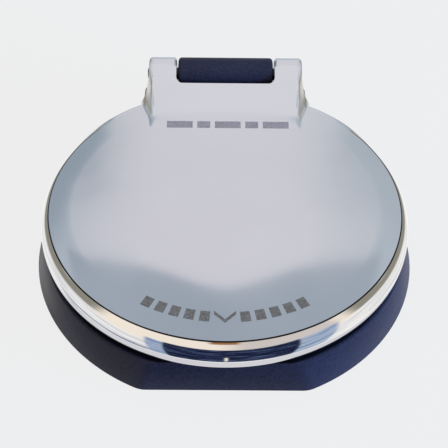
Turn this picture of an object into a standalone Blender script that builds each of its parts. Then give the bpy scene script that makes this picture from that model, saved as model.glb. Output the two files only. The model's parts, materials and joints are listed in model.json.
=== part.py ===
"""Deck-mounted foot switch with a hinged metal cover, as an assembly of separate solids.

A drafted plastic base carries a sealed push button in its middle. A stainless cover is hinged on a
pedestal at the rear and folds back to uncover the button. The contacts sit in a chamber that opens
at the underside, where a plate with a cable grommet closes it.

Metres, +Z up, +X to the right, -Y to the front. The base stands on z = 0, and the model is centred
on the origin in plan. Heights and plan positions below are given from the centre of the round base.
"""
import math

import bmesh
import bpy

MM = 0.001
NAME = "windlass_foot_switch"

# The round base's centre, so that the whole object is centred on the origin in plan.
BASE_CENTRE_Y = -3.0 * MM

# Base: a flared skirt with a flat chord across the front, and a raised round plateau.
BASE_RADIUS = 42.5 * MM
BASE_TOP_RADIUS = 39.8 * MM
BASE_CHORD = 39.0 * MM
BASE_TOP_CHORD = 37.0 * MM
BASE_CORNER = 6.0 * MM
BASE_ROUNDING = 0.35 * MM
LEDGE_Z = 6.8 * MM
PLATEAU_RADIUS = 35.3 * MM
PLATEAU_Z = 9.0 * MM

# Hinge: its axis runs along X.
HINGE_Y = 41.4 * MM
HINGE_Z = 18.4 * MM
KNUCKLE_RADIUS = 4.0 * MM
TAB_HALF_WIDTH = 18.9 * MM
NOTCH_HALF_WIDTH = 12.1 * MM
NOTCH_Y = 36.0 * MM
NOTCH_CORNER = 1.6 * MM
BARREL_HALF_LENGTH = 11.7 * MM
BARREL_ROUNDING = 0.5 * MM
PIN_RADIUS = 1.5 * MM
PIN_CLEARANCE = 0.1 * MM
PIN_ROUNDING = 0.25 * MM
PIN_LEFT_END = 19.35 * MM
PIN_RIGHT_END = 18.6 * MM

# Pedestal: half widths at the deck, at the shoulder under the cover, and at the top. Its inner end is
# buried in the plateau, and a web joins it to the barrel.
PEDESTAL_DECK_HALF_WIDTH = 23.5 * MM
PEDESTAL_SHOULDER_HALF_WIDTH = 22.0 * MM
PEDESTAL_TOP_HALF_WIDTH = 20.6 * MM
PEDESTAL_INNER_Y = 20.0 * MM
PEDESTAL_FRONT_Y = 40.2 * MM
PEDESTAL_REAR_Y = 46.0 * MM
PEDESTAL_CORNER = 3.5 * MM
POST_CORNER = 1.8 * MM
PEDESTAL_DRAFT = 0.2 * MM
PEDESTAL_SHOULDER_Z = 7.0 * MM
PEDESTAL_TOP_Z = 12.2 * MM
WEB_FRONT_Y = 38.4 * MM
WEB_REAR_Y = 44.6 * MM

# Cover: a round shell whose flat top ends at a sharp crease above a convex rim. The rim's section is
# an arc, bulging to its widest at COVER_RIM_Z.
COVER_TOP_Z = 15.1 * MM
COVER_RIM_RADIUS = 40.0 * MM
COVER_RIM_BULGE = 5.7 * MM
COVER_RIM_Z = 10.7 * MM
COVER_RIM_TOP_DEG = 48.0
COVER_RIM_LOW_DEG = -12.0
COVER_CREASE = 0.15 * MM
COVER_LIP = 0.3 * MM
COVER_TOP_THICKNESS = 1.7 * MM
COVER_WALL = 1.6 * MM
COVER_INNER_CORNER = 1.6 * MM
RIM_POINTS = 9
RAMP_START_Y = 27.0 * MM
RAMP_BLEND = 3.6 * MM
TAB_ROOT = 0.6 * MM
TAB_UNDER_START_Y = 33.0 * MM
TAB_UNDER_START_Z = 14.1 * MM
TAB_UNDER_END_Y = 38.4 * MM
TAB_UNDER_END_Z = 13.9 * MM

# Button, on the base's own axis.
STEM_RADIUS = 4.0 * MM
STEM_CLEARANCE = 0.1 * MM
HEAD_RADIUS = 7.2 * MM
WELL_RADIUS = 7.8 * MM
WELL_FLOOR_Z = 7.3 * MM
CHAMBER_RADIUS = 15.5 * MM
CHAMBER_ROOF_Z = 6.3 * MM
PLUNGER_CAP = 0.9 * MM
PLUNGER_SKIRT = 0.8 * MM
PLUNGER_SKIRT_Z = 10.3 * MM
SPIGOT_RADIUS = 1.9 * MM

# Return spring: a conical coil of round wire, wider at its foot.
SPRING_WIRE_RADIUS = 0.3 * MM
SPRING_TURNS = 3
SPRING_POINTS_PER_TURN = 14
SPRING_FOOT_RADIUS = 6.2 * MM
SPRING_TOP_RADIUS = 4.9 * MM

# Contacts: a bridge on the plunger's spigot, held by a clip, 2.2 mm over two contacts on the bottom plate.
BRIDGE_TOP_Z = 6.1 * MM
BRIDGE_THICKNESS = 0.8 * MM
BRIDGE_HALF_LENGTH = 10.4 * MM
BRIDGE_HALF_WIDTH = 3.0 * MM
CLIP_RADIUS = 3.2 * MM
CLIP_LOW_Z = 4.7 * MM
CLIP_THICKNESS = 0.4 * MM
CONTACT_INNER_X = 6.4 * MM
CONTACT_OUTER_X = 14.9 * MM
CONTACT_HALF_WIDTH = 2.6 * MM
CONTACT_THICKNESS = 0.8 * MM
TERMINAL_X = 12.8 * MM
WASHER_INNER = 1.3 * MM
WASHER_OUTER = 1.9 * MM
WASHER_THICKNESS = 0.4 * MM

# Underside: the plate that closes the chamber, its seal, and the deck gasket's groove.
PLATE_RADIUS = 22.0 * MM
PLATE_LOW_Z = 0.2 * MM
PLATE_TOP_Z = 2.0 * MM
PLATE_HEAD_SEAT_Z = 1.25 * MM
PLATE_HEAD_HOLE_RADIUS = 2.5 * MM
RECESS_Z = 2.3 * MM
SEAL_RADIUS = 17.3 * MM
SEAL_CORD_RADIUS = 0.6 * MM
PLATE_SCREW_PITCH_RADIUS = 20.0 * MM
PLATE_SCREW_ANGLES = (0.0, 90.0, 180.0, 270.0)
GASKET_INNER = 34.6 * MM
GASKET_OUTER = 37.4 * MM
GASKET_LOW_Z = 0.1 * MM
GASKET_THICKNESS = 1.2 * MM
POCKET_INNER = 25.0 * MM
POCKET_OUTER = 32.6 * MM
POCKET_TOP_Z = 5.0 * MM

# Boot and the ring that clamps its flange.
BOOT_RADIUS = 19.8 * MM
BOOT_TOP_Z = 13.05 * MM
BOOT_WALL = 0.9 * MM
BOOT_FOOT_RADIUS = 13.6 * MM
BOOT_SHOULDER_RADIUS = 9.6 * MM
BOOT_CROWN_RADIUS = 8.3 * MM
BOOT_CROWN_ROUNDING = 0.8 * MM
BOOT_SHOULDER_Z = 11.2 * MM
BOOT_SLOPE_Z = 10.8 * MM
RING_INNER = 14.4 * MM
RING_OUTER = 20.4 * MM
RING_THICKNESS = 1.1 * MM
RING_CHAMFER = 0.4 * MM
RING_SCREW_PITCH_RADIUS = 17.6 * MM
RING_SCREW_ANGLES = (45.0, 135.0, 225.0, 315.0)

# Deck screws pass down through three countersunk holes; the buffers carry the closed cover.
DECK_HOLE_RADIUS = 2.4 * MM
DECK_HOLE_HEAD_RADIUS = 4.7 * MM
DECK_HOLE_HEAD_DEPTH = 0.6 * MM
DECK_HOLE_PITCH_RADIUS = 28.8 * MM
DECK_HOLE_ANGLES = (90.0, 210.0, 330.0)
POCKET_SPANS_DEG = ((16.0, 56.0), (64.0, 104.0))
BUFFER_RADIUS = 3.0 * MM
BUFFER_ROUNDING = 0.7 * MM
BUFFER_STEM_RADIUS = 1.8 * MM
BUFFER_STEM_LOW_Z = 6.0 * MM
BUFFER_PITCH_RADIUS = 30.5 * MM
BUFFER_ANGLES = {"left": 245.0, "right": 295.0}

GROMMET_Y = -10.0 * MM
GROMMET_RADIUS = 4.9 * MM
GROMMET_BORE_RADIUS = 3.2 * MM
GROMMET_FLANGE = 1.0 * MM
GROMMET_LOW_Z = 0.1 * MM

# Screws: pan heads with a hexagon socket on plain shanks.
SCREW_HOLE_RADIUS = 1.35 * MM
SHANK_RADIUS = 1.05 * MM
SHANK_POINT = 0.4 * MM
SOCKET_RADIUS = 0.95 * MM
HEAD_HEIGHT = 0.9 * MM
PLATE_HEAD_RADIUS = 2.2 * MM
PLATE_SCREW_LENGTH = 5.4 * MM
PLATE_SCREW_HOLE_TOP_Z = 7.2 * MM
RING_HEAD_RADIUS = 2.1 * MM
RING_SCREW_END_Z = 4.9 * MM
RING_SCREW_HOLE_LOW_Z = 4.6 * MM
TERMINAL_HEAD_RADIUS = 1.8 * MM
TERMINAL_SCREW_END_Z = 0.95 * MM
TERMINAL_HOLE_LOW_Z = 0.7 * MM

# GAP is left between neighbours, SLIM_GAP under a clamped head, and cutters pass a face by OVERSHOOT.
GAP = 0.3 * MM
SLIM_GAP = 0.1 * MM
OVERSHOOT = 1.0 * MM
SIDES = (("left", -1.0), ("right", 1.0))
LARGE_STEPS = 64
MEDIUM_STEPS = 40
SMALL_STEPS = 20
SCREW_STEPS = 12
SHARP_DEG = 35.0

COLOURS = {
    "black_plastic": ((0.035, 0.037, 0.060), 0.45, 0.0),
    "polished_steel": ((0.72, 0.72, 0.74), 0.16, 1.0),
    "black_rubber": ((0.020, 0.020, 0.022), 0.75, 0.0),
    "grey_rubber": ((0.16, 0.16, 0.17), 0.70, 0.0),
    "white_plastic": ((0.75, 0.74, 0.70), 0.45, 0.0),
    "brass": ((0.78, 0.57, 0.25), 0.30, 1.0),
    "copper": ((0.83, 0.46, 0.32), 0.30, 1.0),
    "steel_fastener": ((0.58, 0.58, 0.60), 0.30, 1.0),
    "dark_steel": ((0.08, 0.08, 0.10), 0.40, 1.0),
}


# --- Scene and materials -----------------------------------------------------------------------

def clear_scene():
    for item in list(bpy.data.objects):
        bpy.data.objects.remove(item, do_unlink=True)


def new_collection(name):
    collection = bpy.data.collections.new(name)
    bpy.context.scene.collection.children.link(collection)
    return collection


def new_material(name):
    colour, roughness, metallic = COLOURS[name]
    material = bpy.data.materials.new(name)
    material.use_nodes = True
    shader = material.node_tree.nodes["Principled BSDF"]
    shader.inputs["Base Color"].default_value = (*colour, 1.0)
    shader.inputs["Roughness"].default_value = roughness
    shader.inputs["Metallic"].default_value = metallic
    return material


def new_empty(name, location, parent=None):
    empty = bpy.data.objects.new(name, None)
    empty.empty_display_size = 5.0 * MM
    empty.location = location
    empty.parent = parent
    PARTS.objects.link(empty)
    return empty


def place(name, mesh, parent, material=None, location=(0.0, 0.0, 0.0), rotation=(0.0, 0.0, 0.0)):
    """Add a mesh as a part with a material, or as a hidden cutter when it has none."""
    item = bpy.data.objects.new(name, mesh)
    item.parent = parent
    item.location = location
    item.rotation_euler = rotation
    if material is None:
        CUTTERS.objects.link(item)
        item.hide_render = True
        item.display_type = "WIRE"
    else:
        PARTS.objects.link(item)
        mesh.materials.append(MATERIALS[material])
    return item


def finish_mesh(name, bm):
    mesh = bpy.data.meshes.new(name)
    bmesh.ops.recalc_face_normals(bm, faces=bm.faces)
    bm.to_mesh(mesh)
    bm.free()
    mesh.shade_smooth()
    mesh.set_sharp_from_angle(angle=math.radians(SHARP_DEG))
    return mesh


# --- Shapes ------------------------------------------------------------------------------------

def arc(centre, radius, start_deg, end_deg, count):
    """Points along an arc, both ends included."""
    points = []
    for index in range(count):
        angle = math.radians(start_deg + (end_deg - start_deg) * index / (count - 1))
        points.append((centre[0] + radius * math.cos(angle), centre[1] + radius * math.sin(angle)))
    return points


def section(name, profile, closed=False):
    """The section of a turned shape: (radius, z) points, top to bottom along its outer side."""
    bm = bmesh.new()
    corners = [bm.verts.new((radius, 0.0, z)) for radius, z in profile]
    for first, second in zip(corners, corners[1:]):
        bm.edges.new((first, second))
    if closed:
        bm.edges.new((corners[-1], corners[0]))
    mesh = bpy.data.meshes.new(name)
    bm.to_mesh(mesh)
    bm.free()
    return mesh


def add_turn(item, steps):
    """Turn a section about Z."""
    screw = item.modifiers.new("turn", "SCREW")
    screw.axis = "Z"
    screw.angle = math.tau
    screw.steps = steps
    screw.render_steps = steps
    screw.use_merge_vertices = True
    screw.merge_threshold = 0.00001
    screw.use_smooth_shade = True
    return item


def turned_part(name, profile, parent, material=None, steps=MEDIUM_STEPS, closed=False, **where):
    mesh = section(name, profile, closed)
    return add_turn(place(name, mesh, parent, material, **where), steps)


def rod(name, radius, length, steps):
    """A cylinder along Z, centred on its origin."""
    bm = bmesh.new()
    bmesh.ops.create_cone(bm, cap_ends=True, segments=steps, radius1=radius, radius2=radius, depth=length)
    return finish_mesh(name, bm)


def block(name, low, high):
    """A box between two corners."""
    bm = bmesh.new()
    bmesh.ops.create_cube(bm, size=1.0)
    for vert in bm.verts:
        for axis in range(3):
            vert.co[axis] = low[axis] if vert.co[axis] < 0.0 else high[axis]
    return finish_mesh(name, bm)


def loft(name, lower, low_z, upper, high_z):
    """A solid between two outlines with the same number of points."""
    bm = bmesh.new()
    below = [bm.verts.new((x, y, low_z)) for x, y in lower]
    above = [bm.verts.new((x, y, high_z)) for x, y in upper]
    bm.faces.new(below)
    bm.faces.new(above)
    for index in range(len(below)):
        following = (index + 1) % len(below)
        bm.faces.new((below[index], below[following], above[following], above[index]))
    return finish_mesh(name, bm)


def extruded(name, outline, half_width):
    """A flat outline of (y, z) points, filled and extruded along X both ways, as a mesh."""
    curve = bpy.data.curves.new(name, "CURVE")
    curve.dimensions = "2D"
    curve.fill_mode = "BOTH"
    curve.extrude = half_width
    spline = curve.splines.new("POLY")
    spline.points.add(len(outline) - 1)
    for point, (y, z) in zip(spline.points, outline):
        point.co = (y, z, 0.0, 1.0)
    spline.use_cyclic_u = True
    guide = bpy.data.objects.new(name + "_curve", curve)
    bpy.context.scene.collection.objects.link(guide)
    depsgraph = bpy.context.evaluated_depsgraph_get()
    mesh = bpy.data.meshes.new_from_object(guide.evaluated_get(depsgraph))
    bpy.data.objects.remove(guide, do_unlink=True)
    bm = bmesh.new()
    bm.from_mesh(mesh)
    bmesh.ops.remove_doubles(bm, verts=bm.verts, dist=0.000001)
    for vert in bm.verts:
        vert.co = (vert.co.z, vert.co.x, vert.co.y)
    bpy.data.meshes.remove(mesh)
    return finish_mesh(name, bm)


def rounded_rectangle(half_width, front_y, rear_y, corner):
    """Plan outline of a rectangle with four rounded corners."""
    x = half_width - corner
    points = arc((x, rear_y - corner), corner, 0.0, 90.0, 5)
    points += arc((-x, rear_y - corner), corner, 90.0, 180.0, 5)
    points += arc((-x, front_y + corner), corner, 180.0, 270.0, 5)
    points += arc((x, front_y + corner), corner, 270.0, 360.0, 5)
    return points


def chorded_circle(radius, chord, corner):
    """Plan outline of a circle cut by a chord at the front, its two corners rounded."""
    centre_y = -(chord - corner)
    centre_x = math.sqrt((radius - corner) ** 2 - centre_y ** 2)
    tangent = math.degrees(math.atan2(centre_y, centre_x))
    points = arc((0.0, 0.0), radius, tangent, 180.0 - tangent, LARGE_STEPS)
    points += arc((-centre_x, centre_y), corner, 180.0 - tangent, 270.0, 6)[1:]
    points += arc((centre_x, centre_y), corner, 270.0, 360.0 + tangent, 6)[:-1]
    return points


def combine(item, other, operation="DIFFERENCE"):
    modifier = item.modifiers.new(operation.lower() + "_" + other.name, "BOOLEAN")
    modifier.object = other
    modifier.operation = operation
    modifier.solver = "EXACT"


def round_edges(item, width, segments, angle_deg):
    bevel = item.modifiers.new("rounded_edges", "BEVEL")
    bevel.width = width
    bevel.segments = segments
    bevel.limit_method = "ANGLE"
    bevel.angle_limit = math.radians(angle_deg)


def around(radius, angle_deg, z=0.0):
    angle = math.radians(angle_deg)
    return (radius * math.cos(angle), radius * math.sin(angle), z)


# --- Base --------------------------------------------------------------------------------------

def chamber_cutter():
    """Everything turned about the button's axis: recess, seal groove, chamber, guide bore, well."""
    groove_half = SEAL_CORD_RADIUS + 2.0 * SLIM_GAP
    groove_inner = SEAL_RADIUS - groove_half
    groove_outer = SEAL_RADIUS + groove_half
    groove_top = RECESS_Z + 2.0 * SEAL_CORD_RADIUS + GAP
    guide = STEM_RADIUS + STEM_CLEARANCE
    below = -OVERSHOOT
    profile = [
        (0.0, PLATEAU_Z + OVERSHOOT),
        (WELL_RADIUS, PLATEAU_Z + OVERSHOOT),
        (WELL_RADIUS, WELL_FLOOR_Z),
        (guide, WELL_FLOOR_Z),
        (guide, CHAMBER_ROOF_Z),
        (CHAMBER_RADIUS, CHAMBER_ROOF_Z),
        (CHAMBER_RADIUS, RECESS_Z),
        (groove_inner, RECESS_Z),
        (groove_inner, groove_top),
        (groove_outer, groove_top),
        (groove_outer, RECESS_Z),
        (PLATE_RADIUS + GAP, RECESS_Z),
        (PLATE_RADIUS + GAP, below),
        (0.0, below),
    ]
    return turned_part("cut_chamber", profile, BASE, steps=MEDIUM_STEPS)


def gasket_groove_cutter():
    top = GASKET_THICKNESS + GAP
    below = -OVERSHOOT
    profile = [
        (GASKET_INNER - GAP, top),
        (GASKET_OUTER + GAP, top),
        (GASKET_OUTER + GAP, below),
        (GASKET_INNER - GAP, below),
    ]
    return turned_part("cut_gasket_groove", profile, BASE, steps=LARGE_STEPS, closed=True)


def deck_hole_cutter(index, angle_deg):
    """A countersunk hole from the plateau down to the deck."""
    top = PLATEAU_Z + OVERSHOOT
    head_z = PLATEAU_Z - DECK_HOLE_HEAD_DEPTH
    countersink = DECK_HOLE_HEAD_RADIUS - DECK_HOLE_RADIUS
    profile = [
        (0.0, top),
        (DECK_HOLE_HEAD_RADIUS, top),
        (DECK_HOLE_HEAD_RADIUS, head_z),
        (DECK_HOLE_RADIUS, head_z - countersink),
        (DECK_HOLE_RADIUS, -OVERSHOOT),
        (0.0, -OVERSHOOT),
    ]
    where = around(DECK_HOLE_PITCH_RADIUS, angle_deg)
    return turned_part(f"cut_deck_hole_{index}", profile, BASE, steps=SMALL_STEPS, location=where)


def pocket_cutter(index, start_deg, end_deg):
    """One moulding pocket of the underside: a sector of a ring."""
    outline = arc((0.0, 0.0), POCKET_OUTER, start_deg, end_deg, 9)
    outline += arc((0.0, 0.0), POCKET_INNER, end_deg, start_deg, 9)
    mesh = loft(f"cut_pocket_{index}", outline, -OVERSHOOT, outline, POCKET_TOP_Z)
    return place(f"cut_pocket_{index}", mesh, BASE)


def hole_cutter(name, radius, low_z, high_z, where, steps=SCREW_STEPS):
    mesh = rod(name, radius, high_z - low_z, steps)
    middle = (where[0], where[1], 0.5 * (low_z + high_z))
    return place(name, mesh, BASE, location=middle)


def cross_bore_cutter(name, radius, parent):
    """The hinge pin's bore, along X."""
    mesh = rod(name, radius, 3.0 * TAB_HALF_WIDTH, SMALL_STEPS)
    return place(name, mesh, parent, rotation=(0.0, math.radians(90.0), 0.0))


def pedestal_foot():
    """The block behind the round base, from the deck to the shoulder under the cover."""
    deck = rounded_rectangle(PEDESTAL_DECK_HALF_WIDTH, PEDESTAL_INNER_Y, PEDESTAL_REAR_Y, PEDESTAL_CORNER)
    shoulder = rounded_rectangle(PEDESTAL_SHOULDER_HALF_WIDTH, PEDESTAL_INNER_Y,
                                 PEDESTAL_REAR_Y - PEDESTAL_DRAFT, PEDESTAL_CORNER)
    return loft("add_pedestal_foot", deck, 0.0, shoulder, PEDESTAL_SHOULDER_Z)


def pedestal_post():
    """The narrower block over the shoulder, behind the cover's rim."""
    low = rounded_rectangle(PEDESTAL_SHOULDER_HALF_WIDTH - PEDESTAL_DRAFT, PEDESTAL_FRONT_Y,
                            PEDESTAL_REAR_Y - 2.0 * PEDESTAL_DRAFT, POST_CORNER)
    high = rounded_rectangle(PEDESTAL_TOP_HALF_WIDTH, PEDESTAL_FRONT_Y + PEDESTAL_DRAFT,
                             PEDESTAL_REAR_Y - 3.0 * PEDESTAL_DRAFT, POST_CORNER)
    return loft("add_pedestal_post", low, PEDESTAL_SHOULDER_Z - OVERSHOOT, high, PEDESTAL_TOP_Z)


def barrel_web():
    """The upright plate between the pedestal and the hinge barrel."""
    return block("add_barrel_web",
                 (-BARREL_HALF_LENGTH, WEB_FRONT_Y, PEDESTAL_SHOULDER_Z - 2.0 * OVERSHOOT),
                 (BARREL_HALF_LENGTH, WEB_REAR_Y, HINGE_Z - 0.25 * KNUCKLE_RADIUS))


def add_plateau(base):
    height = PLATEAU_Z - OVERSHOOT
    mesh = rod("add_plateau", PLATEAU_RADIUS, height, LARGE_STEPS)
    where = (0.0, 0.0, PLATEAU_Z - 0.5 * height)
    combine(base, place("add_plateau", mesh, BASE, location=where), "UNION")


def add_barrel(base):
    mesh = rod("add_barrel", KNUCKLE_RADIUS, 2.0 * BARREL_HALF_LENGTH, SMALL_STEPS)
    barrel = place("add_barrel", mesh, HINGE, rotation=(0.0, math.radians(90.0), 0.0))
    round_edges(barrel, BARREL_ROUNDING, 2, 60.0)
    combine(base, barrel, "UNION")


def drill_base(base):
    """Deck holes with moulding pockets between them, screw holes and the buffers' holes."""
    for index, angle in enumerate(DECK_HOLE_ANGLES, 1):
        combine(base, deck_hole_cutter(index, angle))
        for half, (start, end) in enumerate(POCKET_SPANS_DEG, 1):
            combine(base, pocket_cutter(2 * index + half - 2, angle + start, angle + end))
    above = PLATEAU_Z + OVERSHOOT
    for index, angle in enumerate(RING_SCREW_ANGLES, 1):
        where = around(RING_SCREW_PITCH_RADIUS, angle)
        combine(base, hole_cutter(f"cut_ring_screw_{index}", SCREW_HOLE_RADIUS, RING_SCREW_HOLE_LOW_Z,
                                  above, where))
    for index, angle in enumerate(PLATE_SCREW_ANGLES, 1):
        where = around(PLATE_SCREW_PITCH_RADIUS, angle)
        combine(base, hole_cutter(f"cut_plate_screw_{index}", SCREW_HOLE_RADIUS, PLATE_LOW_Z,
                                  PLATE_SCREW_HOLE_TOP_Z, where))
    for side, angle in BUFFER_ANGLES.items():
        where = around(BUFFER_PITCH_RADIUS, angle)
        combine(base, hole_cutter(f"cut_buffer_{side}", BUFFER_STEM_RADIUS + GAP, BUFFER_STEM_LOW_Z - GAP,
                                  above, where, SMALL_STEPS))


def build_base():
    lower = chorded_circle(BASE_RADIUS, BASE_CHORD, BASE_CORNER)
    upper = chorded_circle(BASE_TOP_RADIUS, BASE_TOP_CHORD, BASE_CORNER - BASE_ROUNDING)
    base = place("base_housing", loft("base_housing", lower, 0.0, upper, LEDGE_Z), BASE, "black_plastic")
    round_edges(base, BASE_ROUNDING, 2, 30.0)
    add_plateau(base)
    for mesh in (pedestal_foot(), pedestal_post(), barrel_web()):
        combine(base, place(mesh.name, mesh, BASE), "UNION")
    add_barrel(base)
    combine(base, chamber_cutter())
    combine(base, gasket_groove_cutter())
    combine(base, cross_bore_cutter("cut_barrel_bore", PIN_RADIUS + PIN_CLEARANCE, HINGE))
    drill_base(base)


def build_hinge_pin():
    length = PIN_LEFT_END + PIN_RIGHT_END
    middle_x = 0.5 * (PIN_RIGHT_END - PIN_LEFT_END)
    pin = place("hinge_pin", rod("hinge_pin", PIN_RADIUS, length, SMALL_STEPS), HINGE, "dark_steel",
                location=(middle_x, 0.0, 0.0), rotation=(0.0, math.radians(90.0), 0.0))
    round_edges(pin, PIN_ROUNDING, 2, 60.0)


def build_deck_gasket():
    profile = [
        (GASKET_INNER, GASKET_THICKNESS),
        (GASKET_OUTER, GASKET_THICKNESS),
        (GASKET_OUTER, GASKET_LOW_Z),
        (GASKET_INNER, GASKET_LOW_Z),
    ]
    turned_part("deck_gasket", profile, BASE, "grey_rubber", steps=LARGE_STEPS, closed=True)


def build_buffers():
    """Rubber feet pressed into the plateau, which the closed cover rests on."""
    top = COVER_TOP_Z - COVER_TOP_THICKNESS - GAP
    profile = [
        (0.0, top),
        (BUFFER_RADIUS - BUFFER_ROUNDING, top),
        (BUFFER_RADIUS, top - BUFFER_ROUNDING),
        (BUFFER_RADIUS, PLATEAU_Z + GAP),
        (BUFFER_STEM_RADIUS, PLATEAU_Z + GAP),
        (BUFFER_STEM_RADIUS, BUFFER_STEM_LOW_Z),
        (0.0, BUFFER_STEM_LOW_Z),
    ]
    for side, angle in BUFFER_ANGLES.items():
        turned_part(f"cover_buffer_{side}", profile, BASE, "black_rubber", steps=SMALL_STEPS,
                    location=around(BUFFER_PITCH_RADIUS, angle))


# --- Underside ---------------------------------------------------------------------------------

def build_bottom_plate():
    above = PLATE_TOP_Z + OVERSHOOT
    mesh = rod("bottom_plate", PLATE_RADIUS, PLATE_TOP_Z - PLATE_LOW_Z, MEDIUM_STEPS)
    middle = (0.0, 0.0, 0.5 * (PLATE_LOW_Z + PLATE_TOP_Z))
    plate = place("bottom_plate", mesh, BASE, "black_plastic", location=middle)
    for index, angle in enumerate(PLATE_SCREW_ANGLES, 1):
        where = around(PLATE_SCREW_PITCH_RADIUS, angle)
        combine(plate, hole_cutter(f"cut_plate_{index}", SCREW_HOLE_RADIUS, -OVERSHOOT, above, where))
        combine(plate, hole_cutter(f"cut_plate_head_{index}", PLATE_HEAD_HOLE_RADIUS, -OVERSHOOT,
                                   PLATE_HEAD_SEAT_Z, where, SMALL_STEPS))
    for side, sign in SIDES:
        combine(plate, hole_cutter(f"cut_terminal_{side}", SCREW_HOLE_RADIUS, TERMINAL_HOLE_LOW_Z, above,
                                   (sign * TERMINAL_X, 0.0)))
    neck_hole = GROMMET_RADIUS - GROMMET_FLANGE + GAP
    combine(plate, hole_cutter("cut_grommet", neck_hole, -OVERSHOOT, above, (0.0, GROMMET_Y), SMALL_STEPS))


def build_plate_seal():
    centre = (SEAL_RADIUS, RECESS_Z + SEAL_CORD_RADIUS + SLIM_GAP)
    profile = arc(centre, SEAL_CORD_RADIUS, 90.0, -210.0, 6)
    turned_part("plate_seal", profile, BASE, "black_rubber", closed=True)


def build_cable_grommet():
    """A rubber bush that grips the plate's hole by its neck, bored for a two-core cable."""
    seat = PLATE_TOP_Z + GAP
    top = seat + GROMMET_FLANGE
    neck = GROMMET_RADIUS - GROMMET_FLANGE
    profile = [
        (GROMMET_BORE_RADIUS, top),
        (GROMMET_RADIUS - GAP, top),
        (GROMMET_RADIUS, top - GAP),
        (GROMMET_RADIUS, seat),
        (neck, seat),
        (neck, GROMMET_LOW_Z),
        (GROMMET_BORE_RADIUS, GROMMET_LOW_Z),
    ]
    turned_part("cable_grommet", profile, BASE, "black_rubber", steps=SMALL_STEPS, closed=True,
                location=(0.0, GROMMET_Y, 0.0))


def screw_section(name, head_radius, length):
    """A pan-head screw, head up, with the head's seat on z = 0."""
    bevel = 0.25 * HEAD_HEIGHT
    profile = [
        (0.0, HEAD_HEIGHT),
        (head_radius - bevel, HEAD_HEIGHT),
        (head_radius, HEAD_HEIGHT - bevel),
        (head_radius, 0.0),
        (SHANK_RADIUS, 0.0),
        (SHANK_RADIUS, SHANK_POINT - length),
        (SHANK_RADIUS - SHANK_POINT, -length),
        (0.0, -length),
    ]
    return section(name, profile)


def build_screw(name, head_radius, length, seat, material, upside_down=False):
    """A screw with its head's seat at a point, pointing down, or up when it is upside down."""
    rotation = (math.radians(180.0), 0.0, 0.0) if upside_down else (0.0, 0.0, 0.0)
    outward = -1.0 if upside_down else 1.0
    mesh = screw_section(name, head_radius, length)
    screw = add_turn(place(name, mesh, BASE, material, seat, rotation), SCREW_STEPS)
    socket = rod("cut_socket_" + name, SOCKET_RADIUS, 1.2 * HEAD_HEIGHT, 6)
    where = (seat[0], seat[1], seat[2] + outward * HEAD_HEIGHT)
    combine(screw, place("cut_socket_" + name, socket, BASE, location=where))


def build_plate_screws():
    for index, angle in enumerate(PLATE_SCREW_ANGLES, 1):
        seat = around(PLATE_SCREW_PITCH_RADIUS, angle, PLATE_HEAD_SEAT_Z - SLIM_GAP)
        build_screw(f"plate_screw_{index}", PLATE_HEAD_RADIUS, PLATE_SCREW_LENGTH, seat, "steel_fastener",
                    upside_down=True)


# --- Button ------------------------------------------------------------------------------------

def build_boot():
    """The rubber boot: a clamped flange, a flexible shoulder and a flat-topped dome."""
    flange_low = PLATEAU_Z + GAP
    flange_top = flange_low + BOOT_WALL
    crown_side = BOOT_CROWN_RADIUS - 0.25 * BOOT_CROWN_ROUNDING
    profile = [(0.0, BOOT_TOP_Z), (BOOT_CROWN_RADIUS, BOOT_TOP_Z)]
    crown_centre = (BOOT_CROWN_RADIUS, BOOT_TOP_Z - BOOT_CROWN_ROUNDING)
    profile += arc(crown_centre, BOOT_CROWN_ROUNDING, 70.0, 10.0, 3)
    profile += [
        (BOOT_SHOULDER_RADIUS + GAP, BOOT_SHOULDER_Z),
        (BOOT_FOOT_RADIUS - 2.0 * BOOT_CROWN_ROUNDING, BOOT_SLOPE_Z),
        (BOOT_FOOT_RADIUS, flange_top),
        (BOOT_RADIUS, flange_top),
        (BOOT_RADIUS, flange_low),
        (BOOT_FOOT_RADIUS - BOOT_WALL, flange_low),
        (BOOT_FOOT_RADIUS - 2.1 * BOOT_WALL, BOOT_SLOPE_Z - BOOT_WALL),
        (BOOT_SHOULDER_RADIUS - 0.55 * BOOT_WALL, BOOT_SHOULDER_Z - BOOT_WALL),
        (crown_side, BOOT_TOP_Z - 2.0 * BOOT_CROWN_ROUNDING),
        (crown_side - 0.55 * BOOT_WALL, BOOT_TOP_Z - BOOT_WALL),
        (0.0, BOOT_TOP_Z - BOOT_WALL),
    ]
    boot = turned_part("rubber_boot", profile, BASE, "black_rubber")
    for index, angle in enumerate(RING_SCREW_ANGLES, 1):
        where = around(RING_SCREW_PITCH_RADIUS, angle)
        combine(boot, hole_cutter(f"cut_boot_{index}", SCREW_HOLE_RADIUS, flange_low - OVERSHOOT,
                                  flange_top + OVERSHOOT, where))


def build_clamp_ring():
    low = PLATEAU_Z + 2.0 * GAP + BOOT_WALL
    top = low + RING_THICKNESS
    profile = [
        (RING_INNER, top),
        (RING_OUTER - RING_CHAMFER, top),
        (RING_OUTER, top - RING_CHAMFER),
        (RING_OUTER, low),
        (RING_INNER, low),
    ]
    ring = turned_part("boot_clamp_ring", profile, BASE, "steel_fastener", closed=True)
    seat_z = top + 2.0 * SLIM_GAP
    for index, angle in enumerate(RING_SCREW_ANGLES, 1):
        where = around(RING_SCREW_PITCH_RADIUS, angle)
        combine(ring, hole_cutter(f"cut_ring_{index}", SCREW_HOLE_RADIUS, low - OVERSHOOT,
                                  top + OVERSHOOT, where))
        build_screw(f"clamp_ring_screw_{index}", RING_HEAD_RADIUS, seat_z - RING_SCREW_END_Z,
                    (where[0], where[1], seat_z), "steel_fastener")


def plunger_top_z():
    return BOOT_TOP_Z - BOOT_WALL - 2.5 * SLIM_GAP


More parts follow.
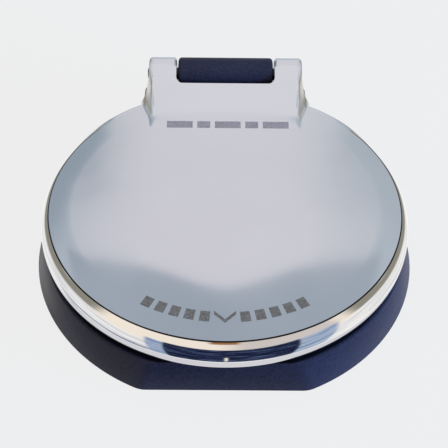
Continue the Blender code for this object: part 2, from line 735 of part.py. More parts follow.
def build_plunger():
    """Cap over the spring, stem in the guide bore, and a spigot that carries the contact bridge."""
    top = plunger_top_z()
    rounding = 2.0 * GAP
    stem_low = BRIDGE_TOP_Z + 2.0 * SLIM_GAP
    spigot_low = CLIP_LOW_Z - CLIP_THICKNESS
    profile = [
        (0.0, top),
        (HEAD_RADIUS - rounding, top),
        (HEAD_RADIUS, top - rounding),
        (HEAD_RADIUS, PLUNGER_SKIRT_Z),
        (HEAD_RADIUS - PLUNGER_SKIRT, PLUNGER_SKIRT_Z),
        (HEAD_RADIUS - PLUNGER_SKIRT, top - PLUNGER_CAP),
        (STEM_RADIUS, top - PLUNGER_CAP),
        (STEM_RADIUS, stem_low),
        (SPIGOT_RADIUS, stem_low),
        (SPIGOT_RADIUS, spigot_low),
        (0.0, spigot_low),
    ]
    turned_part("plunger", profile, BUTTON, "white_plastic", steps=SMALL_STEPS)


def build_contact_bridge():
    """A copper bar threaded on the plunger's spigot."""
    low = BRIDGE_TOP_Z - BRIDGE_THICKNESS
    mesh = block("contact_bridge", (-BRIDGE_HALF_LENGTH, -BRIDGE_HALF_WIDTH, low),
                 (BRIDGE_HALF_LENGTH, BRIDGE_HALF_WIDTH, BRIDGE_TOP_Z))
    bridge = place("contact_bridge", mesh, BUTTON, "copper")
    round_edges(bridge, 0.25 * BRIDGE_THICKNESS, 2, 60.0)
    hole = rod("cut_bridge", SPIGOT_RADIUS + 2.0 * SLIM_GAP, 4.0 * BRIDGE_THICKNESS, SMALL_STEPS)
    combine(bridge, place("cut_bridge", hole, BUTTON, location=(0.0, 0.0, BRIDGE_TOP_Z)))


def ring_profile(inner, outer, low, top):
    """Section of a plain flat ring."""
    return [(inner, top), (outer, top), (outer, low), (inner, low)]


def build_bridge_clip():
    """The washer that holds the bridge on the spigot."""
    profile = ring_profile(SPIGOT_RADIUS + SLIM_GAP, CLIP_RADIUS, CLIP_LOW_Z, CLIP_LOW_Z + CLIP_THICKNESS)
    turned_part("bridge_clip", profile, BUTTON, "steel_fastener", steps=SMALL_STEPS, closed=True)


def build_return_spring():
    """A conical wire spring between the well's floor and the plunger's cap."""
    low = WELL_FLOOR_Z + GAP + SPRING_WIRE_RADIUS
    high = plunger_top_z() - PLUNGER_CAP - 2.5 * SLIM_GAP - SPRING_WIRE_RADIUS
    curve = bpy.data.curves.new("return_spring", "CURVE")
    curve.dimensions = "3D"
    curve.bevel_depth = SPRING_WIRE_RADIUS
    curve.bevel_resolution = 1
    curve.use_fill_caps = True
    count = SPRING_TURNS * SPRING_POINTS_PER_TURN + 1
    spline = curve.splines.new("POLY")
    spline.points.add(count - 1)
    for index, point in enumerate(spline.points):
        share = index / (count - 1)
        angle = math.tau * SPRING_TURNS * share
        radius = SPRING_FOOT_RADIUS + (SPRING_TOP_RADIUS - SPRING_FOOT_RADIUS) * share
        point.co = (radius * math.cos(angle), radius * math.sin(angle), low + (high - low) * share, 1.0)
    spring = bpy.data.objects.new("return_spring", curve)
    spring.parent = BASE
    curve.materials.append(MATERIALS["steel_fastener"])
    PARTS.objects.link(spring)


def build_terminals():
    """Two fixed contacts on the plate, each with a screw and a washer that clamp its wire."""
    low = PLATE_TOP_Z + GAP
    top = low + CONTACT_THICKNESS
    washer_low = top + 2.0 * SLIM_GAP
    washer_top = washer_low + WASHER_THICKNESS
    seat_z = washer_top + SLIM_GAP
    for side, sign in SIDES:
        ends = sorted((sign * CONTACT_INNER_X, sign * CONTACT_OUTER_X))
        where = (sign * TERMINAL_X, 0.0, 0.0)
        mesh = block(f"fixed_contact_{side}", (ends[0], -CONTACT_HALF_WIDTH, low),
                     (ends[1], CONTACT_HALF_WIDTH, top))
        contact = place(f"fixed_contact_{side}", mesh, BASE, "brass")
        round_edges(contact, 0.5 * GAP, 1, 60.0)
        combine(contact, hole_cutter(f"cut_contact_{side}", SCREW_HOLE_RADIUS, low - OVERSHOOT,
                                     top + OVERSHOOT, where))
        profile = ring_profile(WASHER_INNER, WASHER_OUTER, washer_low, washer_top)
        turned_part(f"terminal_washer_{side}", profile, BASE, "steel_fastener", steps=SMALL_STEPS,
                    closed=True, location=where)
        build_screw(f"terminal_screw_{side}", TERMINAL_HEAD_RADIUS, seat_z - TERMINAL_SCREW_END_Z,
                    (where[0], where[1], seat_z), "brass")


# --- Cover -------------------------------------------------------------------------------------

def cover_profile():
    """Section of the round shell: flat top, crease, convex rim, lower lip, hollow inside."""
    centre_r = COVER_RIM_RADIUS - COVER_RIM_BULGE
    rim = arc((centre_r, COVER_RIM_Z), COVER_RIM_BULGE, COVER_RIM_TOP_DEG, COVER_RIM_LOW_DEG, RIM_POINTS)
    lip_r, lip_z = rim[-1]
    inner = COVER_RIM_RADIUS - COVER_WALL
    under = COVER_TOP_Z - COVER_TOP_THICKNESS
    roof_r = inner - COVER_LIP - COVER_LIP
    profile = [(0.0, COVER_TOP_Z), (rim[0][0] - COVER_CREASE, COVER_TOP_Z)] + rim
    profile += [
        (lip_r - COVER_LIP, lip_z - COVER_LIP),
        (inner + COVER_LIP, lip_z - COVER_LIP),
        (inner, lip_z),
    ]
    corner_centre = (roof_r - COVER_INNER_CORNER, under - COVER_INNER_CORNER)
    profile += arc(corner_centre, COVER_INNER_CORNER, 0.0, 90.0, 4)
    profile += [(0.0, under)]
    return profile


def tab_outline():
    """Side view of the tab: blend out of the cover's top, ramp, knuckle, underside."""
    rise_y = HINGE_Y - RAMP_START_Y
    rise_z = HINGE_Z - COVER_TOP_Z
    slope = math.atan2(rise_z, rise_y) + math.asin(KNUCKLE_RADIUS / math.hypot(rise_y, rise_z))
    blend_end = (RAMP_START_Y + RAMP_BLEND * math.cos(slope), COVER_TOP_Z + RAMP_BLEND * math.sin(slope))
    blend_radius = RAMP_BLEND / math.tan(0.5 * slope)
    centre = (RAMP_START_Y - RAMP_BLEND, COVER_TOP_Z + blend_radius)
    slope_deg = math.degrees(slope)
    outline = [(RAMP_START_Y - RAMP_BLEND, COVER_TOP_Z - TAB_ROOT)]
    outline += arc(centre, blend_radius, -90.0 + 0.2 * slope_deg, -90.0 + slope_deg, 5)[:-1]
    outline.append(blend_end)
    outline += arc((HINGE_Y, HINGE_Z), KNUCKLE_RADIUS, 90.0 + slope_deg, -90.0, 14)
    outline += [(TAB_UNDER_END_Y, TAB_UNDER_END_Z), (TAB_UNDER_START_Y, TAB_UNDER_START_Z)]
    return outline


def build_cover():
    cover = turned_part("cover", cover_profile(), HINGE, "polished_steel", steps=LARGE_STEPS,
                        location=(0.0, -HINGE_Y, -HINGE_Z))
    tab_mesh = extruded("add_tab", tab_outline(), TAB_HALF_WIDTH)
    combine(cover, place("add_tab", tab_mesh, BASE), "UNION")
    notch_outline = rounded_rectangle(NOTCH_HALF_WIDTH, NOTCH_Y, 1.5 * HINGE_Y, NOTCH_CORNER)
    notch = loft("cut_notch", notch_outline, 0.0, notch_outline, 2.0 * HINGE_Z)
    combine(cover, place("cut_notch", notch, BASE))
    combine(cover, cross_bore_cutter("cut_knuckle_bore", PIN_RADIUS + PIN_CLEARANCE, HINGE))


clear_scene()
PARTS = new_collection(NAME)
CUTTERS = new_collection("cutters")
MATERIALS = {name: new_material(name) for name in COLOURS}
BASE = new_empty("base_centre", (0.0, BASE_CENTRE_Y, 0.0))
HINGE = new_empty("hinge_axis", (0.0, HINGE_Y, HINGE_Z), BASE)
BUTTON = new_empty("button_axis", (0.0, 0.0, 0.0), BASE)

build_base()
build_hinge_pin()
build_deck_gasket()
build_buffers()
build_bottom_plate()
build_plate_seal()
build_cable_grommet()
build_plate_screws()
build_boot()
build_clamp_ring()
build_plunger()
build_contact_bridge()
build_bridge_clip()
build_return_spring()
build_terminals()
build_cover()
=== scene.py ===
"""Looks of a deck foot switch: a polished metal cover hinged over a black plastic base.

Every piece is built in metres in the CAD's frame. Plan positions named below are measured from the
centre of the round base, and the mesh helpers move them into the frame.
"""
import json
import math

import bmesh
import bpy
from mathutils import Matrix, Vector


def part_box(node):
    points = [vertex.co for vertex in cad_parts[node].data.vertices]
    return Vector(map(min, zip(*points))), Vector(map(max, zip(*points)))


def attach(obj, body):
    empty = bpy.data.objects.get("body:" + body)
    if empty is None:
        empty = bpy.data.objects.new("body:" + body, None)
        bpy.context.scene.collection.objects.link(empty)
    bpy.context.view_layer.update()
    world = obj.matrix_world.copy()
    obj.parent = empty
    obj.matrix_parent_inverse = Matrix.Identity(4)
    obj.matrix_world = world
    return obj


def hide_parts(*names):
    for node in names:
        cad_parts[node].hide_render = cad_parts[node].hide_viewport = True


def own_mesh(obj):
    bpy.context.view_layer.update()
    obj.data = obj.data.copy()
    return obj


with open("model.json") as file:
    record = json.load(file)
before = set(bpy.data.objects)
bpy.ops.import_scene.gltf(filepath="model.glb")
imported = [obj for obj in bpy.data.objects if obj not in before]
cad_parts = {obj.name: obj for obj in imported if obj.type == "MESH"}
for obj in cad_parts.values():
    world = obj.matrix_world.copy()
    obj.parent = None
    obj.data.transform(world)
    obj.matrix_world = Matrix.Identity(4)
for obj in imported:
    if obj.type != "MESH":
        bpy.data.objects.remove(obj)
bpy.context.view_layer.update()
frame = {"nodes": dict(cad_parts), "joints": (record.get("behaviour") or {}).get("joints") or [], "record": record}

MM = 0.001


# --- Measures read from the frame --------------------------------------------------------------

def middle(node):
    low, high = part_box(node)
    return (low + high) / 2.0


def joint(name):
    return next(entry for entry in frame["joints"] if entry["name"] == name)


BASE_CENTRE = Vector((0.0, middle("deck_gasket").y, 0.0))
HINGE_Y = joint("cover_hinge")["pos_m"][1] - BASE_CENTRE.y
HINGE_Z = joint("cover_hinge")["pos_m"][2]
COVER_LOW, COVER_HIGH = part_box("cover")
COVER_RIM_RADIUS = 0.5 * (COVER_HIGH.x - COVER_LOW.x)
KNUCKLE_RADIUS = COVER_HIGH.z - HINGE_Z
BASE_HALF_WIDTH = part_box("base_housing")[1].x
PEDESTAL_REAR_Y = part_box("base_housing")[1].y - BASE_CENTRE.y
BOOT_LOW_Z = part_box("rubber_boot")[0].z
BOOT_TOP_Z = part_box("rubber_boot")[1].z
PIN_LEFT_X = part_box("hinge_pin")[0].x
PIN_RIGHT_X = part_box("hinge_pin")[1].x

# --- Sizes shared with the CAD -----------------------------------------------------------------

COVER_TOP_Z = 15.1 * MM
CREASE_RADIUS = 37.95 * MM
RIM_BULGE = 5.7 * MM
RIM_Z = 10.7 * MM
# Painted shade in the crease: the band's edges across the crease and its depth below the top.
CREASE_SHADE_SPAN = (-0.17 * MM, 0.11 * MM)
CREASE_SHADE_DEPTH = (0.07 * MM, 0.30 * MM)
COVER_TOP_THICKNESS = 1.7 * MM
COVER_WALL = 1.6 * MM
RAMP_START_Y = 27.0 * MM
RAMP_BLEND = 3.6 * MM
TAB_HALF_WIDTH = 18.9 * MM
NOTCH_HALF_WIDTH = 12.1 * MM
NOTCH_Y = 36.0 * MM
NOTCH_CORNER = 1.6 * MM
BORE_RADIUS = 1.62 * MM
PIN_RADIUS = 1.5 * MM

BASE_FLARE = 2.7 * MM
BASE_CHORD = 39.0 * MM
BASE_TOP_CHORD = 37.0 * MM
BASE_CORNER = 5.6 * MM
LEDGE_Z = 6.8 * MM
PLATEAU_RADIUS = 35.3 * MM
PLATEAU_Z = 9.0 * MM
BARREL_HALF_LENGTH = 11.7 * MM

STEM_BORE_RADIUS = 4.1 * MM
WELL_RADIUS = 7.8 * MM
WELL_FLOOR_Z = 7.3 * MM
CHAMBER_RADIUS = 15.5 * MM
CHAMBER_ROOF_Z = 6.3 * MM
RECESS_Z = 2.3 * MM
PLATE_RADIUS = 22.0 * MM
SEAL_RADIUS = 17.3 * MM
SEAL_CORD_RADIUS = 0.6 * MM
GASKET_INNER = 34.6 * MM
GASKET_OUTER = 37.4 * MM

BOOT_RADIUS = 19.8 * MM
BOOT_WALL = 0.9 * MM
RING_SCREW_ANGLES = (45.0, 135.0, 225.0, 315.0)
RING_SCREW_PITCH = 17.6 * MM
PLATE_SCREW_ANGLES = (0.0, 90.0, 180.0, 270.0)
PLATE_SCREW_PITCH = 20.0 * MM
DECK_HOLE_ANGLES = (90.0, 210.0, 330.0)
DECK_HOLE_PITCH = 28.8 * MM
BUFFER_ANGLES = {"left": 245.0, "right": 295.0}
BUFFER_PITCH = 30.5 * MM

# --- Camera ------------------------------------------------------------------------------------

CAMERA_DISTANCE = 173.5 * MM
CAMERA_ELEVATION = 47.32
CAMERA_YAW = -0.55
CAMERA_ROLL = 0.85
CAMERA_LENS = 60.13
CAMERA_SHIFT_X = -0.00107
CAMERA_SHIFT_Y = 0.04654


def build_camera():
    yaw = math.radians(CAMERA_YAW)
    elevation = math.radians(CAMERA_ELEVATION)
    back = Vector((math.sin(yaw) * math.cos(elevation), -math.cos(yaw) * math.cos(elevation),
                   math.sin(elevation)))
    data = bpy.data.cameras.new("camera")
    data.lens = CAMERA_LENS
    data.shift_x = CAMERA_SHIFT_X
    data.shift_y = CAMERA_SHIFT_Y
    data.clip_start = 1.0 * MM
    camera = bpy.data.objects.new("camera", data)
    bpy.context.scene.collection.objects.link(camera)
    camera.location = BASE_CENTRE + back * CAMERA_DISTANCE
    aim = (-back).to_track_quat("-Z", "Y").to_matrix().to_4x4()
    roll = Matrix.Rotation(math.radians(CAMERA_ROLL), 4, "Z")
    camera.rotation_euler = (aim @ roll).to_euler()
    bpy.context.scene.camera = camera


build_camera()


# --- Node trees --------------------------------------------------------------------------------

class Graph:
    """A node tree, with short calls for the nodes used here."""

    def __init__(self, tree, position):
        self.tree = tree
        self.position = position

    def link(self, source, node, socket):
        self.tree.links.new(source, node.inputs[socket])

    def stretched(self, scale):
        mapping = self.tree.nodes.new("ShaderNodeMapping")
        mapping.inputs["Scale"].default_value = scale
        self.link(self.position, mapping, "Vector")
        return mapping.outputs["Vector"]

    def noise(self, scale, detail=4.0, rough=0.55, vector=None):
        node = self.tree.nodes.new("ShaderNodeTexNoise")
        node.inputs["Scale"].default_value = scale
        node.inputs["Detail"].default_value = detail
        node.inputs["Roughness"].default_value = rough
        self.link(vector or self.position, node, "Vector")
        return node.outputs["Fac"]

    def span(self, source, low, high, to_low=0.0, to_high=1.0):
        node = self.tree.nodes.new("ShaderNodeMapRange")
        node.interpolation_type = "SMOOTHSTEP"
        node.inputs["From Min"].default_value = low
        node.inputs["From Max"].default_value = high
        node.inputs["To Min"].default_value = to_low
        node.inputs["To Max"].default_value = to_high
        self.link(source, node, "Value")
        return node.outputs["Result"]

    def band(self, source, low, high, soft):
        """1 between two values, falling to 0 over a soft width outside each."""
        rise = self.span(source, low - soft, low)
        fall = self.span(source, high, high + soft, 1.0, 0.0)
        return self.maths("MULTIPLY", rise, fall)

    def maths(self, operation, first, second=0.0):
        node = self.tree.nodes.new("ShaderNodeMath")
        node.operation = operation
        for index, value in enumerate((first, second)):
            if isinstance(value, (int, float)):
                node.inputs[index].default_value = value
            else:
                self.tree.links.new(value, node.inputs[index])
        return node.outputs[0]

    def mix(self, share, first, second):
        node = self.tree.nodes.new("ShaderNodeMix")
        node.data_type = "RGBA"
        self.tree.links.new(share, node.inputs["Factor"])
        for socket, value in (("A", first), ("B", second)):
            entry = next(i for i in node.inputs if i.name == socket and i.type == "RGBA")
            if isinstance(value, tuple):
                entry.default_value = (*value, 1.0)
            else:
                self.tree.links.new(value, entry)
        return next(output for output in node.outputs if output.type == "RGBA")

    def along(self, axis):
        node = self.tree.nodes.new("ShaderNodeSeparateXYZ")
        self.link(self.position, node, "Vector")
        return node.outputs[axis]


class Surface(Graph):
    """A Principled material; its numbers that don't vary are set on its own sockets."""

    def __init__(self, name, metallic=0.0, **sockets):
        self.material = bpy.data.materials.new(name)
        self.material.use_nodes = True
        tree = self.material.node_tree
        super().__init__(tree, tree.nodes.new("ShaderNodeTexCoord").outputs["Object"])
        self.shader = tree.nodes["Principled BSDF"]
        self.shader.inputs["Metallic"].default_value = metallic
        for socket, value in sockets.items():
            self.shader.inputs[socket.replace("_", " ")].default_value = value

    def axis_distance(self):
        """Distance in plan from the round base's axis."""
        shift = self.tree.nodes.new("ShaderNodeVectorMath")
        shift.operation = "SUBTRACT"
        shift.inputs[1].default_value = BASE_CENTRE
        self.link(self.position, shift, 0)
        flat = self.tree.nodes.new("ShaderNodeVectorMath")
        flat.operation = "MULTIPLY"
        flat.inputs[1].default_value = (1.0, 1.0, 0.0)
        self.link(shift.outputs[0], flat, 0)
        length = self.tree.nodes.new("ShaderNodeVectorMath")
        length.operation = "LENGTH"
        self.link(flat.outputs[0], length, 0)
        return length.outputs["Value"]

    def worn_edges(self, low, high):
        """1 on outer edges, 0 elsewhere, from the mesh's own curvature."""
        node = self.tree.nodes.new("ShaderNodeNewGeometry")
        return self.span(node.outputs["Pointiness"], low, high)

    def bump(self, source, strength, distance, after=None):
        node = self.tree.nodes.new("ShaderNodeBump")
        node.inputs["Strength"].default_value = strength
        node.inputs["Distance"].default_value = distance
        self.link(source, node, "Height")
        if after is not None:
            self.link(after, node, "Normal")
        self.link(node.outputs["Normal"], self.shader, "Normal")
        return node.outputs["Normal"]

    def colour(self, source):
        self.link(source, self.shader, "Base Color")

    def roughness(self, source):
        self.link(source, self.shader, "Roughness")


# --- Materials ---------------------------------------------------------------------------------

def cover_steel():
    """Stainless steel: softly polished on top, a mirror on the rim, satin underneath, painted shade in the crease.
    """
    s = Surface("cover_steel", metallic=1.0)
    radius = s.axis_distance()
    broad = s.noise(38.0, 2.0)
    fine = s.noise(2600.0, 2.0)
    strokes = s.noise(1.0, 4.0, 0.7, vector=s.stretched((240.0, 5200.0, 900.0)))
    rim = s.span(radius, CREASE_RADIUS, CREASE_RADIUS + 0.2 * MM)
    under = s.band(s.along("Z"), 0.0, COVER_TOP_Z - COVER_TOP_THICKNESS + 0.02 * MM, 0.02 * MM)
    under = s.maths("MULTIPLY", under, s.span(radius, COVER_RIM_RADIUS - COVER_WALL,
                                              COVER_RIM_RADIUS - COVER_WALL + 0.1 * MM, 1.0, 0.0))
    top_rough = s.span(s.maths("ADD", broad, s.maths("MULTIPLY", strokes, 0.25)), 0.35, 0.85, 0.11, 0.17)
    outer = s.maths("ADD", s.maths("MULTIPLY", top_rough, s.maths("SUBTRACT", 1.0, rim)),
                    s.maths("MULTIPLY", s.span(broad, 0.3, 0.7, 0.05, 0.075), rim))
    inner, outer_edge = (CREASE_RADIUS + offset for offset in CREASE_SHADE_SPAN)
    shallow, deep = (COVER_TOP_Z - depth for depth in CREASE_SHADE_DEPTH)
    # Painted shade: a thin band down in the crease is coloured near black and made rougher.
    groove = s.maths("MULTIPLY", s.band(radius, inner, outer_edge, 0.02 * MM),
                     s.band(s.along("Z"), deep, shallow, 0.04 * MM))
    flank = s.maths("MULTIPLY", s.span(s.maths("ABSOLUTE", s.along("X")), 17.0 * MM, 18.6 * MM),
                    s.span(s.along("Z"), COVER_TOP_Z - 0.1 * MM, COVER_TOP_Z + 0.5 * MM))
    s.roughness(s.maths("ADD", s.maths("ADD", outer, s.maths("MULTIPLY", flank, 0.30)),
                        s.maths("MULTIPLY", s.maths("MAXIMUM", under, groove), 0.22)))
    steel = s.mix(s.span(broad, 0.35, 0.65), (0.715, 0.715, 0.735), (0.745, 0.745, 0.76))
    s.colour(s.mix(groove, steel, (0.05, 0.045, 0.045)))
    waves = s.bump(broad, 0.35, 0.35 * MM)
    s.bump(s.maths("ADD", s.maths("MULTIPLY", fine, 0.6), strokes), 0.025, 0.01 * MM, after=waves)
    return s.material


def etched_steel():
    s = Surface("etched_steel")
    grain = s.noise(2600.0, 3.0)
    legend = s.mix(s.span(grain, 0.35, 0.65), (0.070, 0.062, 0.052), (0.125, 0.112, 0.098))
    tab = s.mix(s.span(grain, 0.35, 0.65), (0.15, 0.125, 0.125), (0.24, 0.205, 0.205))
    s.colour(s.mix(s.span(s.along("Y"), -8.0 * MM, 8.0 * MM), legend, tab))
    s.roughness(s.span(grain, 0.3, 0.7, 0.5, 0.75))
    s.bump(grain, 0.15, 0.01 * MM)
    return s.material


def base_plastic():
    """Moulded blue-black plastic: spark texture, pale specks, scuffed edges, and painted shade under the cover,
    near black and without gloss.
    """
    s = Surface("base_plastic", IOR=1.46)
    spark = s.noise(2400.0, 3.0, 0.6)
    cloud = s.noise(70.0, 4.0)
    specks = s.maths("MULTIPLY", s.span(s.noise(1500.0, 2.0), 0.70, 0.78), 0.2)
    grain = s.maths("ADD", s.maths("MULTIPLY", cloud, 0.35), s.maths("MULTIPLY", spark, 0.65))
    body = s.mix(s.span(grain, 0.36, 0.64), (0.0075, 0.0080, 0.0165), (0.0155, 0.0163, 0.0325))
    dusty = s.mix(specks, body, (0.10, 0.10, 0.13))
    worn = s.mix(s.maths("MULTIPLY", s.worn_edges(0.52, 0.60), 0.3), dusty, (0.07, 0.08, 0.13))
    # Painted shade: under the cover's rim, the ledge and plateau are coloured near black and lose their gloss.
    ledge_edge = BASE_HALF_WIDTH - BASE_FLARE
    inside = s.span(s.axis_distance(), ledge_edge - 0.55 * MM, ledge_edge - 0.25 * MM, 1.0, 0.0)
    shade_under_cover = s.maths("MULTIPLY", inside,
                        s.band(s.along("Z"), LEDGE_Z - 0.1 * MM, PLATEAU_Z + 0.1 * MM, 0.05 * MM))
    s.colour(s.mix(shade_under_cover, worn, (0.004, 0.004, 0.006)))
    s.link(s.span(shade_under_cover, 0.0, 1.0, 0.14, 0.03), s.shader, "Specular IOR Level")
    s.roughness(s.span(cloud, 0.3, 0.7, 0.36, 0.47))
    s.bump(spark, 0.22, 0.03 * MM)
    return s.material


def rubber(name, dark, light, scale):
    s = Surface(name)
    cloud = s.noise(120.0, 4.0)
    s.colour(s.mix(s.span(cloud, 0.35, 0.7), dark, light))
    s.roughness(s.span(cloud, 0.3, 0.7, 0.6, 0.8))
    s.bump(s.noise(scale, 3.0), 0.3, 0.04 * MM)
    return s.material


def plain_metal(name, dark, light, rough_low, rough_high):
    s = Surface(name, metallic=1.0)
    cloud = s.noise(220.0, 4.0)
    strokes = s.noise(1.0, 4.0, 0.7, vector=s.stretched((900.0, 6000.0, 900.0)))
    s.colour(s.mix(s.span(cloud, 0.3, 0.7), dark, light))
    s.roughness(s.maths("ADD", s.span(cloud, 0.3, 0.7, rough_low, rough_high),
                        s.maths("MULTIPLY", strokes, 0.08)))
    s.bump(strokes, 0.04, 0.01 * MM)
    return s.material


def moulded_plastic(name, dark, light):
    s = Surface(name, Subsurface_Weight=0.05)
    cloud = s.noise(150.0, 3.0)
    s.colour(s.mix(s.span(cloud, 0.3, 0.7), dark, light))
    s.roughness(s.span(cloud, 0.3, 0.7, 0.35, 0.5))
    s.bump(s.noise(1800.0, 2.0), 0.1, 0.02 * MM)
    return s.material


MATERIALS = {
    "cover_steel": cover_steel(),
    "etched_steel": etched_steel(),
    "base_plastic": base_plastic(),
    "boot_rubber": rubber("boot_rubber", (0.014, 0.014, 0.015), (0.030, 0.030, 0.032), 1500.0),
    "gasket_rubber": rubber("gasket_rubber", (0.13, 0.13, 0.14), (0.20, 0.20, 0.21), 2600.0),
    "plunger_plastic": moulded_plastic("plunger_plastic", (0.70, 0.69, 0.64), (0.78, 0.77, 0.73)),
    "contact_brass": plain_metal("contact_brass", (0.72, 0.50, 0.20), (0.82, 0.62, 0.30), 0.24, 0.38),
    "bridge_copper": plain_metal("bridge_copper", (0.76, 0.40, 0.27), (0.86, 0.52, 0.38), 0.24, 0.38),
    "fastener_steel": plain_metal("fastener_steel", (0.52, 0.52, 0.54), (0.64, 0.64, 0.66), 0.22, 0.36),
    # Painted shade: the pin's steel is coloured near black to stand in for the shade on its visible end.
    "pin_steel": plain_metal("pin_steel", (0.045, 0.045, 0.065), (0.09, 0.09, 0.12), 0.3, 0.45),
}


# --- Mesh building -----------------------------------------------------------------------------

def arc(centre, radius, start_deg, end_deg, count):
    """Points along an arc, both ends included."""
    points = []
    for index in range(count):
        angle = math.radians(start_deg + (end_deg - start_deg) * index / (count - 1))
        points.append((centre[0] + radius * math.cos(angle), centre[1] + radius * math.sin(angle)))
    return points


def line(start, end, count):
    """Points along a straight line, both ends included."""
    return [tuple(a + (b - a) * index / (count - 1) for a, b in zip(start, end)) for index in range(count)]


def around(radius, angle_deg):
    angle = math.radians(angle_deg)
    return (radius * math.cos(angle), radius * math.sin(angle))


def object_from(bm, name, sharp_deg=32.0):
    bmesh.ops.recalc_face_normals(bm, faces=bm.faces)
    mesh = bpy.data.meshes.new(name)
    bm.to_mesh(mesh)
    bm.free()
    item = bpy.data.objects.new(name, mesh)
    shade(item, sharp_deg)
    bpy.context.scene.collection.objects.link(item)
    return item


def shade(item, sharp_deg=32.0):
    item.data.shade_smooth()
    item.data.set_sharp_from_angle(angle=math.radians(sharp_deg))


def bridge(bm, first, second, cyclic=True):
    """Faces between two rows of vertices; a row of one vertex is a pole."""
    count = max(len(first), len(second))
    for index in range(count if cyclic else count - 1):
        following = (index + 1) % count
        corners = [first[index % len(first)], second[index % len(second)],
                   second[following % len(second)], first[following % len(first)]]
        unique = [corner for place, corner in enumerate(corners) if corner not in corners[:place]]
        bm.faces.new(unique)


def turned(name, profile, steps=96, closed=False, where=(0.0, 0.0), sharp_deg=32.0):
    """Turn (radius, z) points about a vertical axis; the profile may depend on the angle."""
    bm = bmesh.new()
    shapes = [profile(math.tau * index / steps) if callable(profile) else profile for index in range(steps)]
    rows = []
    for level, (radius, z) in enumerate(shapes[0]):
        if radius < 1e-7:
            rows.append([bm.verts.new((0.0, 0.0, z))])
            continue
        row = []
        for index, shape in enumerate(shapes):
            angle = math.tau * index / steps
            radius, z = shape[level]
            row.append(bm.verts.new((radius * math.cos(angle), radius * math.sin(angle), z)))
        rows.append(row)
    for upper, lower in zip(rows, rows[1:]):
        bridge(bm, upper, lower)
    if closed:
        bridge(bm, rows[-1], rows[0])
    bmesh.ops.translate(bm, verts=bm.verts, vec=BASE_CENTRE + Vector((where[0], where[1], 0.0)))
    return object_from(bm, name, sharp_deg)


def lofted(name, sections, sharp_deg=32.0):
    """A closed solid through sections that have the same number of points each."""
    bm = bmesh.new()
    rows = [[bm.verts.new(Vector(point) + BASE_CENTRE) for point in section] for section in sections]
    for first, second in zip(rows, rows[1:]):
        bridge(bm, first, second)
    bm.faces.new(rows[0])
    bm.faces.new(rows[-1])
    return object_from(bm, name, sharp_deg)


def upright(name, radius, low, high, where=(0.0, 0.0), steps=48):
    """A plain upright cylinder."""
    circle = arc(where, radius, 0.0, 360.0, steps + 1)[:-1]
    return lofted(name, [[(x, y, z) for x, y in circle] for z in (low, high)])


def crosswise(name, profile, steps=64):
    """Turn (x, radius) points about the hinge's axis."""
    sections = []
    for x, radius in profile:
        circle = arc((HINGE_Y, HINGE_Z), radius, 0.0, 360.0, steps + 1)[:-1]
        sections.append([(x, y, z) for y, z in circle])
    return lofted(name, sections)


def combine(item, other, operation="DIFFERENCE"):
    """Apply a Boolean with the other object, and remove the other object."""
    modifier = item.modifiers.new("boolean", "BOOLEAN")
    modifier.object = other
    modifier.operation = operation
    modifier.solver = "EXACT"
    depsgraph = bpy.context.evaluated_depsgraph_get()
    mesh = bpy.data.meshes.new_from_object(item.evaluated_get(depsgraph))
    item.modifiers.clear()
    item.data = mesh
    bpy.data.objects.remove(other, do_unlink=True)


def piece(item, body, slot, *nodes, material=None):
    """Give a piece the material of its slot and attach it to its body, and hide the CAD nodes that it stands for.
    """
    item.data.materials.clear()
    item.data.materials.append(MATERIALS[material or slot])
    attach(item, body)
    if nodes:
        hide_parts(*nodes)
    return item


# --- Cover -------------------------------------------------------------------------------------

COVER_STEPS = 288
CREASE_WIDTH = 0.15 * MM
CREASE_DEPTH = 0.24 * MM
CREASE_ENDS_DEG = (20.0, 46.0)
REAR_FLAT_RADIUS = 38.55 * MM
REAR_ROUNDING = 0.75 * MM
LIP_ROUNDING = 0.3 * MM
UNDERSIDE_GROOVES = (12.0 * MM, 24.0 * MM)


def clamp(value):
    return max(0.0, min(1.0, value))


def smooth(value):
    value = clamp(value)
    return value * value * (3.0 - 2.0 * value)


def front_rim():
    """The convex rim below the crease."""
    return arc((COVER_RIM_RADIUS - RIM_BULGE, RIM_Z), RIM_BULGE, 48.0, -12.0, 28)


def rear_rim():
    """Beside the tab the top runs out flat to a rounded edge over a steep wall."""
    low = front_rim()[-1]
    flat = line((CREASE_RADIUS + CREASE_WIDTH, COVER_TOP_Z), (REAR_FLAT_RADIUS, COVER_TOP_Z), 6)
    edge = arc((REAR_FLAT_RADIUS, COVER_TOP_Z - REAR_ROUNDING), REAR_ROUNDING, 90.0, 6.0, 14)
    return flat[:-1] + edge + line(edge[-1], low, 10)[1:]


